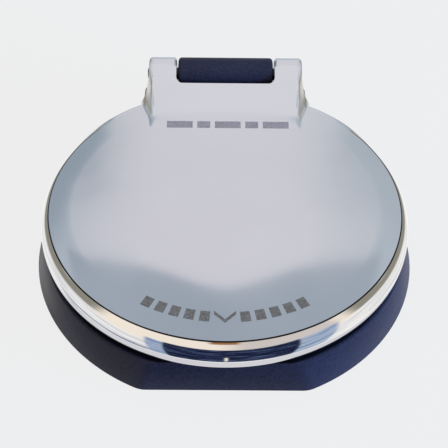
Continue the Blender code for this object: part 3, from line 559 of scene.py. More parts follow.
def cover_profile(angle):
    """Section of the shell at an angle about its axis; the crease fades out towards the tab."""
    rearward = math.degrees(math.asin(math.sin(angle)))
    share = smooth((rearward - CREASE_ENDS_DEG[0]) / (CREASE_ENDS_DEG[1] - CREASE_ENDS_DEG[0]))
    rim = []
    for (front_r, front_z), (rear_r, rear_z) in zip(front_rim(), rear_rim()):
        rim.append((front_r + (rear_r - front_r) * share, front_z + (rear_z - front_z) * share))
    groove = CREASE_DEPTH * (1.0 - share)
    top = COVER_TOP_Z
    under = top - COVER_TOP_THICKNESS
    inner = COVER_RIM_RADIUS - COVER_WALL
    corner = 1.6 * MM
    profile = [(radius, top) for radius in (0.0, 12.0 * MM, 24.0 * MM, 33.0 * MM)]
    profile += [(CREASE_RADIUS - CREASE_WIDTH - 0.12 * MM, top),
                (CREASE_RADIUS - CREASE_WIDTH, top - 0.15 * groove),
                (CREASE_RADIUS - 0.05 * MM, top - groove),
                (CREASE_RADIUS + 0.03 * MM, top - groove)]
    profile += rim
    lip_r = rim[-1][0] - LIP_ROUNDING * math.cos(math.radians(12.0))
    lip_z = rim[-1][1] + LIP_ROUNDING * math.sin(math.radians(12.0))
    profile += arc((lip_r, lip_z), LIP_ROUNDING, -24.0, -90.0, 6)
    profile += arc((inner + LIP_ROUNDING, lip_z), LIP_ROUNDING, -90.0, -180.0, 6)
    profile += arc((inner - 0.6 * MM - corner, under - corner), corner, 0.0, 90.0, 10)
    for groove_r in reversed(UNDERSIDE_GROOVES):
        profile += [(groove_r + 0.9 * MM, under), (groove_r + 0.5 * MM, under + 0.22 * MM),
                    (groove_r - 0.5 * MM, under + 0.22 * MM), (groove_r - 0.9 * MM, under)]
    profile.append((0.0, under))
    return profile


RAMP_SLOPE = math.atan2(HINGE_Z - COVER_TOP_Z, HINGE_Y - RAMP_START_Y) + math.asin(
    KNUCKLE_RADIUS / math.hypot(HINGE_Z - COVER_TOP_Z, HINGE_Y - RAMP_START_Y))
RAMP_RADIUS = RAMP_BLEND / math.tan(0.5 * RAMP_SLOPE)
RAMP_FIRST_Y = RAMP_START_Y - RAMP_BLEND
RAMP_LAST_Y = HINGE_Y - KNUCKLE_RADIUS * math.sin(RAMP_SLOPE)
TAB_FRONT_Y = RAMP_FIRST_Y - 1.0 * MM
FLARE_FRONT_HALF_WIDTH = 17.4 * MM
FLARE_REAR_HALF_WIDTH = 18.2 * MM
FLARE_LIMIT = 2.5 * MM
KNUCKLE_EDGE = 0.7 * MM
KNUCKLE_BLEND_Y = 35.0 * MM
SIDE_FOOT_HALF_WIDTH = 20.7 * MM
WALL_ROUNDING = 0.45 * MM
RAMP_STATIONS = 40
REAR_STATIONS = 30


def ramp_height(y):
    """Height of the tab's middle over the cover's top."""
    if y <= RAMP_FIRST_Y:
        return 0.0
    if y < RAMP_START_Y + RAMP_BLEND * math.cos(RAMP_SLOPE):
        return RAMP_RADIUS - math.sqrt(RAMP_RADIUS ** 2 - (y - RAMP_FIRST_Y) ** 2)
    return (y - RAMP_START_Y) * math.tan(RAMP_SLOPE)


def edge_drop(distance, radius):
    """Drop of a rounded edge at a distance past its start."""
    across = clamp(distance / radius)
    return radius * (1.0 - math.sqrt(1.0 - across * across))


def tab_top(x, y):
    """Height of the tab's upper surface: flat across, with rounded shoulders and flared sides."""
    height = ramp_height(y)
    share = clamp((y - RAMP_START_Y) / (HINGE_Y - RAMP_START_Y))
    flat = FLARE_FRONT_HALF_WIDTH + (FLARE_REAR_HALF_WIDTH - FLARE_FRONT_HALF_WIDTH) * share
    width = min(FLARE_LIMIT, 0.7 * MM + 0.62 * height)
    flared = height * smooth(clamp((abs(x) - flat) / width) ** 0.8)
    knuckled = edge_drop(abs(x) - (TAB_HALF_WIDTH - KNUCKLE_EDGE), KNUCKLE_EDGE)
    towards_knuckle = smooth((y - KNUCKLE_BLEND_Y) / (RAMP_LAST_Y - KNUCKLE_BLEND_Y))
    if abs(x) > TAB_HALF_WIDTH:
        towards_knuckle = 0.0
    return COVER_TOP_Z + height - (flared * (1.0 - towards_knuckle) + knuckled * towards_knuckle)


def ramp_points(x, last_y):
    """The tab's upper surface, from its front to a distance back."""
    return [(x, y, tab_top(x, y)) for y, in line((TAB_FRONT_Y,), (last_y,), RAMP_STATIONS)]


def underside_points(x, last_y, last_z):
    """From the tab's rear foot forward, inside the cover's own thickness."""
    low = COVER_TOP_Z - 1.1 * MM
    points = [(last_y, last_z), (last_y - 2.0 * MM, 0.5 * (last_z + low)),
              (33.0 * MM, low), (TAB_FRONT_Y, low)]
    return [(x, y, z) for y, z in points]


def knuckle_section(x, edge):
    """Side view of the tab where it ends in a knuckle; edge is the rounding's drop at this x."""
    slope = math.degrees(RAMP_SLOPE)
    circle = arc((HINGE_Y, HINGE_Z), KNUCKLE_RADIUS - edge, 90.0 + slope, -92.0, REAR_STATIONS)
    last_z = circle[-1][1]
    return (ramp_points(x, RAMP_LAST_Y) + [(x, y, z) for y, z in circle[1:]]
            + underside_points(x, HINGE_Y - 3.0 * MM, last_z - 0.4 * MM))


def wall_section(x, wall_y, foot_z):
    """Side view of the tab where it ends in an upright wall with a rounded upper edge."""
    top_z = tab_top(x, wall_y - WALL_ROUNDING)
    points = ramp_points(x, wall_y - WALL_ROUNDING)
    corner = arc((wall_y - WALL_ROUNDING, top_z - WALL_ROUNDING), WALL_ROUNDING, 75.0, 0.0, 8)
    wall = line((wall_y, corner[-1][1]), (wall_y, foot_z), REAR_STATIONS - len(corner))[1:]
    return (points + [(x, y, max(z, foot_z)) for y, z in corner + wall]
            + underside_points(x, wall_y - 0.5 * MM, foot_z))


def tab_sections():
    """Sections of the tab across its width, from the left side's foot to the right side's."""
    foot_z = COVER_TOP_Z - 1.0 * MM
    half = [wall_section(x * MM, NOTCH_Y, foot_z) for x in (0.0, 4.0, 8.0)]
    for x, y in arc((NOTCH_HALF_WIDTH - NOTCH_CORNER, NOTCH_Y + NOTCH_CORNER), NOTCH_CORNER, -80.0, 0.0, 9):
        half.append(wall_section(x, y, foot_z))
    for x, drop in arc((NOTCH_HALF_WIDTH + KNUCKLE_EDGE, KNUCKLE_EDGE), KNUCKLE_EDGE, -180.0, -90.0, 7):
        half.append(knuckle_section(x, drop))
    for x in (14.0, 15.5, 17.0, 17.5, 17.9):
        half.append(knuckle_section(x * MM, 0.0))
    for x, drop in arc((TAB_HALF_WIDTH - KNUCKLE_EDGE, KNUCKLE_EDGE), KNUCKLE_EDGE, -90.0, 0.0, 9):
        half.append(knuckle_section(x, drop))
    start = (TAB_HALF_WIDTH + 0.02 * MM, 41.0 * MM)
    for x, y in line(start, (SIDE_FOOT_HALF_WIDTH, 34.5 * MM), 12):
        half.append(wall_section(x, y, foot_z))
    mirrored = [[(-x, y, z) for x, y, z in section] for section in half[:0:-1]]
    return mirrored + half


def build_cover():
    shell = turned("cover_shell", cover_profile, COVER_STEPS)
    outline = [(NOTCH_HALF_WIDTH, 60.0 * MM), (-NOTCH_HALF_WIDTH, 60.0 * MM)]
    outline += arc((-NOTCH_HALF_WIDTH + NOTCH_CORNER, NOTCH_Y + NOTCH_CORNER), NOTCH_CORNER, 180.0, 270.0, 10)
    outline += arc((NOTCH_HALF_WIDTH - NOTCH_CORNER, NOTCH_Y + NOTCH_CORNER), NOTCH_CORNER, 270.0, 360.0, 10)
    combine(shell, lofted("notch", [[(x, y, z) for x, y in outline] for z in (0.0, 60.0 * MM)]))
    combine(shell, lofted("tab", tab_sections()), "UNION")
    combine(shell, crosswise("bore", [(-30.0 * MM, BORE_RADIUS), (30.0 * MM, BORE_RADIUS)], 48))
    shade(shell, 30.0)
    piece(shell, "cover", "cover_steel", "cover")


# --- Etched marks ------------------------------------------------------------------------------

MARK_PROUD = 0.012 * MM
MARK_SUNK = 0.05 * MM
TAB_MARK_Y = (24.0 * MM, 26.2 * MM)
TAB_MARK_X = -14.0 * MM
TAB_MARK_BARS = (6.2, 3.1, 6.2, 3.1, 6.2)
TAB_MARK_GAP = 1.1 * MM
ARC_MARK_RADII = (31.2 * MM, 33.6 * MM)
ARC_MARK_TICKS = 5
ARC_MARK_TICK_DEG = 3.4
ARC_MARK_PITCH_DEG = 5.1
ARC_MARK_FIRST_DEG = 6.8


def add_slab(bm, rows):
    """A thin closed slab over rows of surface points, barely proud of the surface."""
    above = [[bm.verts.new(Vector((x, y, z + MARK_PROUD)) + BASE_CENTRE) for x, y, z in row] for row in rows]
    below = [[bm.verts.new(Vector((x, y, z - MARK_SUNK)) + BASE_CENTRE) for x, y, z in row] for row in rows]
    for sheet in (above, below):
        for first, second in zip(sheet, sheet[1:]):
            bridge(bm, first, second, cyclic=False)
    edges = [(above[0], below[0]), (above[-1], below[-1])]
    edges += [([row[0] for row in above], [row[0] for row in below])]
    edges += [([row[-1] for row in above], [row[-1] for row in below])]
    for upper, lower in edges:
        bridge(bm, upper, lower, cyclic=False)


def tab_bars(bm):
    """A row of plain bars, long and short in turn, across the foot of the tab."""
    x = TAB_MARK_X
    for length in TAB_MARK_BARS:
        rows = []
        for y, in line((TAB_MARK_Y[0],), (TAB_MARK_Y[1],), 7):
            rows.append([(px, y, tab_top(px, y)) for px, in line((x,), (x + length * MM,), 4)])
        add_slab(bm, rows)
        x += length * MM + TAB_MARK_GAP


def arc_tick(bm, start_deg, end_deg):
    rows = []
    for radius in ARC_MARK_RADII:
        rows.append([(x, y, COVER_TOP_Z) for x, y in arc((0.0, 0.0), radius, start_deg, end_deg, 5)])
    add_slab(bm, rows)


def build_marks():
    """Plain etched bars on the tab, and an arc of ticks with a chevron that means down."""
    bm = bmesh.new()
    tab_bars(bm)
    for side in (-1.0, 1.0):
        for index in range(ARC_MARK_TICKS):
            centre = -90.0 + side * (ARC_MARK_FIRST_DEG + ARC_MARK_PITCH_DEG * index)
            arc_tick(bm, centre - 0.5 * ARC_MARK_TICK_DEG, centre + 0.5 * ARC_MARK_TICK_DEG)
        tip_y, wing_y, thick = -33.7 * MM, -31.7 * MM, 0.85 * MM
        rows = [[(0.0, tip_y + lift, COVER_TOP_Z), (side * 2.1 * MM, wing_y + lift, COVER_TOP_Z)]
                for lift in (0.0, thick)]
        add_slab(bm, rows)
    marks = object_from(bm, "etched_marks")
    piece(marks, "cover", "cover_steel", material="etched_steel")


# --- Base --------------------------------------------------------------------------------------

BASE_STEPS = 240
BASE_EDGE = 0.35 * MM
BASE_FOOT_EDGE = 0.25 * MM


def chorded_circle(radius, chord, corner):
    centre_y = -(chord - corner)
    centre_x = math.sqrt((radius - corner) ** 2 - centre_y ** 2)
    tangent = math.degrees(math.atan2(centre_y, centre_x))
    points = arc((0.0, 0.0), radius, tangent, 180.0 - tangent, BASE_STEPS)
    points += arc((-centre_x, centre_y), corner, 180.0 - tangent, 270.0, 14)[1:]
    points += arc((centre_x, centre_y), corner, 270.0, 360.0 + tangent, 14)[:-1]
    return points


def skirt_outline(z, inset):
    """The skirt's outline at a height, pulled in by an inset."""
    share = (z - BASE_FOOT_EDGE) / LEDGE_Z
    radius = BASE_HALF_WIDTH - BASE_FLARE * share - inset
    chord = BASE_CHORD - (BASE_CHORD - BASE_TOP_CHORD) * share - inset
    return [(x, y, z) for x, y in chorded_circle(radius, chord, BASE_CORNER - inset)]


def skirt():
    """The flared wall of the base, from the deck to its rounded upper edge."""
    sections = [skirt_outline(0.0, BASE_FOOT_EDGE), skirt_outline(0.4 * BASE_FOOT_EDGE, 0.3 * BASE_FOOT_EDGE),
                skirt_outline(BASE_FOOT_EDGE, 0.0)]
    for inset, rise in arc((BASE_EDGE, 0.0), BASE_EDGE, 180.0, 90.0, 7):
        sections.append(skirt_outline(LEDGE_Z - BASE_EDGE + rise, inset))
    return lofted("base_shell", sections)


def rounded_rectangle(half_width, front_y, rear_y, corner):
    x = half_width - corner
    points = arc((x, rear_y - corner), corner, 0.0, 90.0, 9)
    points += arc((-x, rear_y - corner), corner, 90.0, 180.0, 9)
    points += arc((-x, front_y + corner), corner, 180.0, 270.0, 9)
    points += arc((x, front_y + corner), corner, 270.0, 360.0, 9)
    return points


def tapered_block(name, widths, fronts, rears, heights, corner, edge):
    """A drafted block with rounded uprights and a rounded upper edge."""
    sections = []
    levels = [(heights[0], 0.0)]
    levels += [(heights[1] - edge + rise, inset) for inset, rise in arc((edge, 0.0), edge, 180.0, 90.0, 6)]
    for z, inset in levels:
        share = (z - heights[0]) / (heights[1] - heights[0])
        half, front, rear = (low + (high - low) * share for low, high in (widths, fronts, rears))
        outline = rounded_rectangle(half - inset, front + inset, rear - inset, corner - inset)
        sections.append([(x, y, z) for x, y in outline])
    return lofted(name, sections)


def chamber():
    """Recess, seal groove, contact chamber, guide bore and well, turned as one cutter."""
    groove = SEAL_CORD_RADIUS + 0.2 * MM
    profile = [
        (0.0, 10.0 * MM),
        (WELL_RADIUS + 0.3 * MM, 10.0 * MM),
        (WELL_RADIUS + 0.3 * MM, PLATEAU_Z),
        (WELL_RADIUS, PLATEAU_Z - 0.3 * MM),
        (WELL_RADIUS, WELL_FLOOR_Z),
        (STEM_BORE_RADIUS, WELL_FLOOR_Z),
        (STEM_BORE_RADIUS, CHAMBER_ROOF_Z),
        (CHAMBER_RADIUS, CHAMBER_ROOF_Z),
        (CHAMBER_RADIUS, RECESS_Z),
        (SEAL_RADIUS - groove, RECESS_Z),
        (SEAL_RADIUS - groove, RECESS_Z + 1.5 * MM),
        (SEAL_RADIUS + groove, RECESS_Z + 1.5 * MM),
        (SEAL_RADIUS + groove, RECESS_Z),
        (PLATE_RADIUS + 0.3 * MM, RECESS_Z),
        (PLATE_RADIUS + 0.3 * MM, -1.0 * MM),
        (0.0, -1.0 * MM),
    ]
    return turned("chamber", profile)


def deck_hole(angle):
    profile = [(0.0, 10.0 * MM), (4.7 * MM, 10.0 * MM), (4.7 * MM, 8.4 * MM), (2.4 * MM, 6.1 * MM),
               (2.4 * MM, 0.3 * MM), (2.7 * MM, -0.1 * MM), (2.7 * MM, -1.0 * MM), (0.0, -1.0 * MM)]
    return turned("deck_hole", profile, 48, where=around(DECK_HOLE_PITCH, angle))


def pocket(start_deg, end_deg):
    outline = arc((0.0, 0.0), 32.6 * MM, start_deg, end_deg, 25)
    outline += arc((0.0, 0.0), 25.0 * MM, end_deg, start_deg, 25)
    return lofted("pocket", [[(x, y, z) for x, y in outline] for z in (-1.0 * MM, 5.0 * MM)])


def build_base():
    base = skirt()
    edge = 0.4 * MM
    plateau = [(0.0, PLATEAU_Z)] + arc((PLATEAU_RADIUS - edge, PLATEAU_Z - edge), edge, 90.0, 0.0, 6)
    plateau += [(PLATEAU_RADIUS, 1.0 * MM), (0.0, 1.0 * MM)]
    combine(base, turned("plateau", plateau, 200), "UNION")
    rear = PEDESTAL_REAR_Y
    foot = tapered_block("foot", (23.5 * MM, 22.0 * MM), (20.0 * MM, 20.0 * MM), (rear, rear - 0.2 * MM),
                         (0.0, 7.0 * MM), 3.5 * MM, 0.35 * MM)
    post = tapered_block("post", (21.8 * MM, 20.6 * MM), (40.2 * MM, 40.4 * MM),
                         (rear - 0.4 * MM, rear - 0.6 * MM), (6.0 * MM, 12.2 * MM), 1.8 * MM, 0.4 * MM)
    web = tapered_block("web", (11.7 * MM, 11.7 * MM), (38.4 * MM, 38.4 * MM), (44.6 * MM, 44.6 * MM),
                        (5.0 * MM, HINGE_Z - 1.0 * MM), 0.5 * MM, 0.3 * MM)
    end = 0.8 * MM
    barrel = arc((-BARREL_HALF_LENGTH + end, KNUCKLE_RADIUS - end), end, 180.0, 90.0, 7)
    barrel += arc((BARREL_HALF_LENGTH - end, KNUCKLE_RADIUS - end), end, 90.0, 0.0, 7)
    for block in (foot, post, web, crosswise("barrel", barrel, 72)):
        combine(base, block, "UNION")
    cutters = [chamber(), crosswise("bore", [(-30.0 * MM, BORE_RADIUS), (30.0 * MM, BORE_RADIUS)], 48)]
    gasket_groove = [(GASKET_INNER - 0.3 * MM, 1.5 * MM), (GASKET_OUTER + 0.3 * MM, 1.5 * MM),
                     (GASKET_OUTER + 0.3 * MM, -1.0 * MM), (GASKET_INNER - 0.3 * MM, -1.0 * MM)]
    cutters.append(turned("gasket_groove", gasket_groove, 200, closed=True))
    for angle in DECK_HOLE_ANGLES:
        cutters += [deck_hole(angle), pocket(angle + 16.0, angle + 56.0), pocket(angle + 64.0, angle + 104.0)]
    for angle in RING_SCREW_ANGLES:
        cutters.append(upright("hole", 1.35 * MM, 4.6 * MM, 10.0 * MM, around(RING_SCREW_PITCH, angle), 24))
    for angle in PLATE_SCREW_ANGLES:
        cutters.append(upright("hole", 1.35 * MM, 0.2 * MM, 7.2 * MM, around(PLATE_SCREW_PITCH, angle), 24))
    for angle in BUFFER_ANGLES.values():
        cutters.append(upright("hole", 2.1 * MM, 5.7 * MM, 10.0 * MM, around(BUFFER_PITCH, angle), 32))
    for cutter in cutters:
        combine(base, cutter)
    shade(base)
    piece(base, "base", "base_plastic", "base_housing")


# --- Small pieces ------------------------------------------------------------------------------

def build_pin():
    """The hinge pin, with turned chamfers at its ends."""
    chamfer = 0.3 * MM
    pin = crosswise("hinge_pin_turned", [
        (PIN_LEFT_X, PIN_RADIUS - chamfer), (PIN_LEFT_X + chamfer, PIN_RADIUS),
        (PIN_RIGHT_X - chamfer, PIN_RADIUS), (PIN_RIGHT_X, PIN_RADIUS - chamfer)], 48)
    piece(pin, "base", "pin_steel", "hinge_pin")


def build_buffers():
    """Rubber feet with a domed top and a ring groove."""
    low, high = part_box("cover_buffer_left")
    profile = [(0.0, high.z)] + arc((2.0 * MM, high.z - 1.0 * MM), 1.0 * MM, 90.0, 0.0, 8)
    profile += [(3.0 * MM, 11.4 * MM), (2.75 * MM, 11.15 * MM), (2.75 * MM, 10.75 * MM),
                (3.0 * MM, 10.5 * MM), (3.0 * MM, 9.4 * MM), (2.9 * MM, 9.3 * MM), (1.8 * MM, 9.3 * MM),
                (1.8 * MM, low.z + 0.3 * MM), (1.5 * MM, low.z), (0.0, low.z)]
    for side, angle in BUFFER_ANGLES.items():
        buffer = turned(f"buffer_{side}", profile, 64, where=around(BUFFER_PITCH, angle))
        piece(buffer, "base", "boot_rubber", f"cover_buffer_{side}")


def build_boot():
    """The rubber boot: clamped flange, rolled shoulder and a dome with two raised rings."""
    low, top, wall = BOOT_LOW_Z, BOOT_TOP_Z, BOOT_WALL
    flange = low + wall
    outer = [(0.0, top - 0.15 * MM), (3.2 * MM, top - 0.15 * MM), (3.5 * MM, top), (4.1 * MM, top),
             (4.4 * MM, top - 0.15 * MM), (6.0 * MM, top - 0.15 * MM), (6.3 * MM, top), (6.9 * MM, top)]
    outer += arc((7.7 * MM, top - 0.8 * MM), 0.8 * MM, 88.0, 10.0, 8)
    outer += [(8.6 * MM, 11.9 * MM), (9.2 * MM, 11.45 * MM), (9.9 * MM, 11.2 * MM), (11.0 * MM, 11.05 * MM),
              (12.0 * MM, 10.8 * MM), (12.8 * MM, 10.45 * MM), (13.6 * MM, flange), (BOOT_RADIUS, flange),
              (BOOT_RADIUS, low)]
    inner = [(12.7 * MM, low), (11.7 * MM, 9.9 * MM), (10.6 * MM, 10.15 * MM), (9.1 * MM, 10.4 * MM),
             (8.4 * MM, 10.9 * MM), (8.0 * MM, 11.45 * MM), (7.6 * MM, top - wall), (0.0, top - wall)]
    boot = turned("boot", outer + inner, 144, sharp_deg=40.0)
    for angle in RING_SCREW_ANGLES:
        combine(boot, upright("hole", 1.35 * MM, low - 1.0 * MM, flange + 1.0 * MM,
                              around(RING_SCREW_PITCH, angle), 24))
    shade(boot, 40.0)
    piece(boot, "base", "boot_rubber", "rubber_boot")
    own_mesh(boot)


def build_clamp_ring():
    low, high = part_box("boot_clamp_ring")
    edge = 0.3 * MM
    profile = [(14.4 * MM, high.z - edge), (14.4 * MM + edge, high.z), (20.0 * MM, high.z)]
    profile += arc((19.9 * MM, high.z - 0.5 * MM), 0.5 * MM, 80.0, 0.0, 6)
    profile += [(20.4 * MM, low.z), (14.4 * MM, low.z)]
    ring = turned("clamp_ring", profile, 160, closed=True)
    for angle in RING_SCREW_ANGLES:
        combine(ring, upright("hole", 1.35 * MM, low.z - 1.0 * MM, high.z + 1.0 * MM,
                              around(RING_SCREW_PITCH, angle), 24))
    shade(ring)
    piece(ring, "base", "fastener_steel", "boot_clamp_ring")


def build_screw(name, node, slot, where, head_radius, upside_down=False):
    """A domed hexagon-socket screw with thread rings, in its CAD node's height."""
    low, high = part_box(node)
    length = high.z - low.z
    head = 0.9 * MM
    profile = [(0.0, length)] + arc((head_radius - 0.45 * MM, length - 0.45 * MM), 0.45 * MM, 80.0, 0.0, 6)
    profile += [(head_radius, length - head), (1.0 * MM, length - head)]
    z = length - head - 0.3 * MM
    while z > 0.7 * MM:
        profile += [(0.8 * MM, z), (1.04 * MM, z - 0.15 * MM)]
        z -= 0.3 * MM
    profile += [(0.8 * MM, 0.4 * MM), (0.6 * MM, 0.0), (0.0, 0.0)]
    profile = [(radius, low.z + level) for radius, level in profile]
    if upside_down:
        profile = [(radius, low.z + high.z - level) for radius, level in profile]
    screw = turned(name, profile, 36, where=where)
    seat = low.z - 0.5 * MM if upside_down else high.z - 0.55 * MM
    combine(screw, upright("socket", 0.95 * MM, seat, seat + 1.05 * MM, where, 6))
    shade(screw)
    piece(screw, "base", slot, node)


def build_screws():
    for index, angle in enumerate(RING_SCREW_ANGLES, 1):
        build_screw(f"ring_screw_{index}_turned", f"clamp_ring_screw_{index}", "fastener_steel",
                    around(RING_SCREW_PITCH, angle), 2.1 * MM)
    for index, angle in enumerate(PLATE_SCREW_ANGLES, 1):
        build_screw(f"plate_screw_{index}_turned", f"plate_screw_{index}", "fastener_steel",
                    around(PLATE_SCREW_PITCH, angle), 2.2 * MM, upside_down=True)
    for side, x in (("left", -12.8 * MM), ("right", 12.8 * MM)):
        node = f"terminal_screw_{side}"
        build_screw(f"{node}_turned", node, "contact_brass", (x, 0.0), 1.8 * MM)


def build_gasket():
    """The deck gasket, with two sealing ribs below."""
    low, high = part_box("deck_gasket")
    profile = [(GASKET_INNER, high.z), (GASKET_OUTER, high.z), (GASKET_OUTER, low.z + 0.35 * MM)]
    for radius in (36.7 * MM, 35.3 * MM):
        profile += [(radius + 0.45 * MM, low.z + 0.3 * MM)]
        profile += arc((radius, low.z + 0.3 * MM), 0.3 * MM, 0.0, -180.0, 7)
        profile += [(radius - 0.45 * MM, low.z + 0.3 * MM)]
    profile.append((GASKET_INNER, low.z + 0.35 * MM))
    piece(turned("gasket", profile, 200, closed=True), "base", "gasket_rubber", "deck_gasket")


def build_seal():
    low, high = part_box("plate_seal")
    centre = (SEAL_RADIUS, 0.5 * (low.z + high.z))
    profile = arc(centre, 0.5 * (high.z - low.z), 90.0, -250.0, 18)
    piece(turned("seal", profile, 144, closed=True), "base", "boot_rubber", "plate_seal")


def build_bottom_plate():
    """The plate under the chamber, with a chamfered edge, a raised ring and its holes."""
    low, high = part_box("bottom_plate")
    profile = [(0.0, high.z), (PLATE_RADIUS, high.z), (PLATE_RADIUS, low.z + 0.3 * MM),
               (PLATE_RADIUS - 0.3 * MM, low.z), (17.0 * MM, low.z), (16.7 * MM, low.z + 0.25 * MM),
               (0.0, low.z + 0.25 * MM)]
    plate = turned("bottom_plate_moulded", profile, 144)
    cutters = [upright("hole", 4.2 * MM, -1.0 * MM, 3.0 * MM, (0.0, -10.0 * MM), 48)]
    for angle in PLATE_SCREW_ANGLES:
        where = around(PLATE_SCREW_PITCH, angle)
        cutters += [upright("hole", 1.35 * MM, -1.0 * MM, 3.0 * MM, where, 24),
                    upright("hole", 2.5 * MM, -1.0 * MM, 1.25 * MM, where, 36)]
    for x in (-12.8 * MM, 12.8 * MM):
        cutters.append(upright("hole", 1.35 * MM, 0.7 * MM, 3.0 * MM, (x, 0.0), 24))
    for cutter in cutters:
        combine(plate, cutter)
    shade(plate)
    piece(plate, "base", "base_plastic", "bottom_plate")


def build_grommet():
    low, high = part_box("cable_grommet")
    profile = [(3.2 * MM, high.z - 0.2 * MM), (3.4 * MM, high.z)] + arc(
        (4.5 * MM, high.z - 0.4 * MM), 0.4 * MM, 90.0, 0.0, 6)
    profile += [(4.9 * MM, 2.3 * MM), (3.9 * MM, 2.3 * MM), (3.9 * MM, low.z + 0.2 * MM), (3.7 * MM, low.z),
                (3.4 * MM, low.z), (3.2 * MM, low.z + 0.2 * MM), (3.2 * MM, 1.0 * MM), (3.0 * MM, 1.2 * MM),
                (3.0 * MM, 1.5 * MM), (3.2 * MM, 1.7 * MM)]
    grommet = turned("grommet", profile, 72, closed=True, where=(0.0, -10.0 * MM))
    piece(grommet, "base", "boot_rubber", "cable_grommet")


def build_spring():
    """The conical return spring of round wire."""
    low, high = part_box("return_spring")
    wire, turns, count, sides = 0.3 * MM, 3, 144, 12
    rows = []
    for index in range(count + 1):
        share = index / count
        angle = math.tau * turns * share
        radius = (6.2 - 1.3 * share) * MM
        z = low.z + wire + (high.z - low.z - 2.0 * wire) * share
        rows.append([((radius + a) * math.cos(angle), (radius + a) * math.sin(angle), z + b)
                     for a, b in arc((0.0, 0.0), wire, 0.0, 360.0, sides + 1)[:-1]])
    spring = lofted("spring_wire", rows)
    piece(spring, "base", "fastener_steel", "return_spring")
    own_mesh(spring)


def finish_cad_nodes():
    """The contacts, washers, clip and plunger stay as they are, with their own materials."""
    slots = {entry["node"]: entry["material_slot"] for entry in frame["record"]["subparts"]}
    for node, item in frame["nodes"].items():
        if not item.hide_render:
            item.data.materials.clear()
            item.data.materials.append(MATERIALS[slots[node]])


# --- Studio ------------------------------------------------------------------------------------

FLOOR_HALF = 3.0
BACKDROP_RADIUS = 2.5
CARD_Z = 45.0 * MM
CARD_NEAR_Y = -40.0 * MM
CARD_FAR_Y = -4.0 * MM
CARD_RISE = 6.5 * MM
CARD_DIP = 16.0 * MM
CARD_LEAN = 0.09
CARD_HALF_WIDTH = 44.0 * MM
CARD_STATIONS = 45


def hide_from(item, *rays):
    """Make an object invisible to some kinds of ray."""
    for ray in rays:
        setattr(item, f"visible_{ray}", False)


def build_floor():
    """A pale sheet that mostly glows by itself, so that the object's shadow stays faint."""
    bm = bmesh.new()
    bmesh.ops.create_grid(bm, x_segments=1, y_segments=1, size=FLOOR_HALF)
    bmesh.ops.translate(bm, verts=bm.verts, vec=(0.0, 0.0, -0.02 * MM))
    floor = object_from(bm, "floor")
    s = Surface("floor_paper", Emission_Strength=0.815)
    s.colour(s.mix(s.noise(30.0), (0.029, 0.029, 0.029), (0.031, 0.031, 0.031)))
    s.shader.inputs["Emission Color"].default_value = (1.0, 1.0, 1.0, 1.0)
    s.shader.inputs["Roughness"].default_value = 0.9
    s.shader.inputs["Specular IOR Level"].default_value = 0.0
    floor.data.materials.append(s.material)
    hide_from(floor, "glossy")
    return s.material


def build_backdrop(paper):
    """A pale dome behind the floor, seen by the camera only: the light and reflections pass it."""
    bm = bmesh.new()
    bmesh.ops.create_icosphere(bm, subdivisions=4, radius=BACKDROP_RADIUS)
    dome = object_from(bm, "backdrop")
    dome.data.materials.append(paper)
    hide_from(dome, "glossy", "diffuse", "shadow", "transmission")


def build_card():
    """A blue-grey card over the cover, seen only by the reflections of the top's front third."""
    bm = bmesh.new()
    near, far = [], []
    for x, in line((-CARD_HALF_WIDTH,), (CARD_HALF_WIDTH,), CARD_STATIONS):
        far_y = CARD_FAR_Y + CARD_RISE * (1.0 - math.exp(-(x / CARD_DIP) ** 2)) + CARD_LEAN * abs(x)
        near.append(bm.verts.new((x, CARD_NEAR_Y, CARD_Z)))
        far.append(bm.verts.new((x, far_y, CARD_Z)))
    bridge(bm, near, far, cyclic=False)
    card = object_from(bm, "front_card")
    s = Surface("front_card", Emission_Strength=1.0)
    glow = s.mix(s.noise(60.0, 2.0), (0.40, 0.465, 0.54), (0.45, 0.515, 0.59))
    s.link(glow, s.shader, "Emission Color")
    s.colour(s.mix(s.noise(60.0), (0.0, 0.0, 0.0), (0.002, 0.002, 0.002)))
    s.shader.inputs["Specular IOR Level"].default_value = 0.0
    card.data.materials.append(s.material)
    hide_from(card, "camera", "diffuse", "shadow", "transmission")


def build_light(name, location, size, power, colour):
    """A soft rectangular light aimed at the object, kept out of its mirror reflections."""
    data = bpy.data.lights.new(name, "AREA")
    data.shape = "RECTANGLE"
    data.size, data.size_y = size
    data.energy = power
    data.color = colour
    light = bpy.data.objects.new(name, data)
    light.location = location
    light.rotation_euler = (-Vector(location)).to_track_quat("-Z", "Y").to_euler()
    light.visible_glossy = False
    bpy.context.scene.collection.objects.link(light)


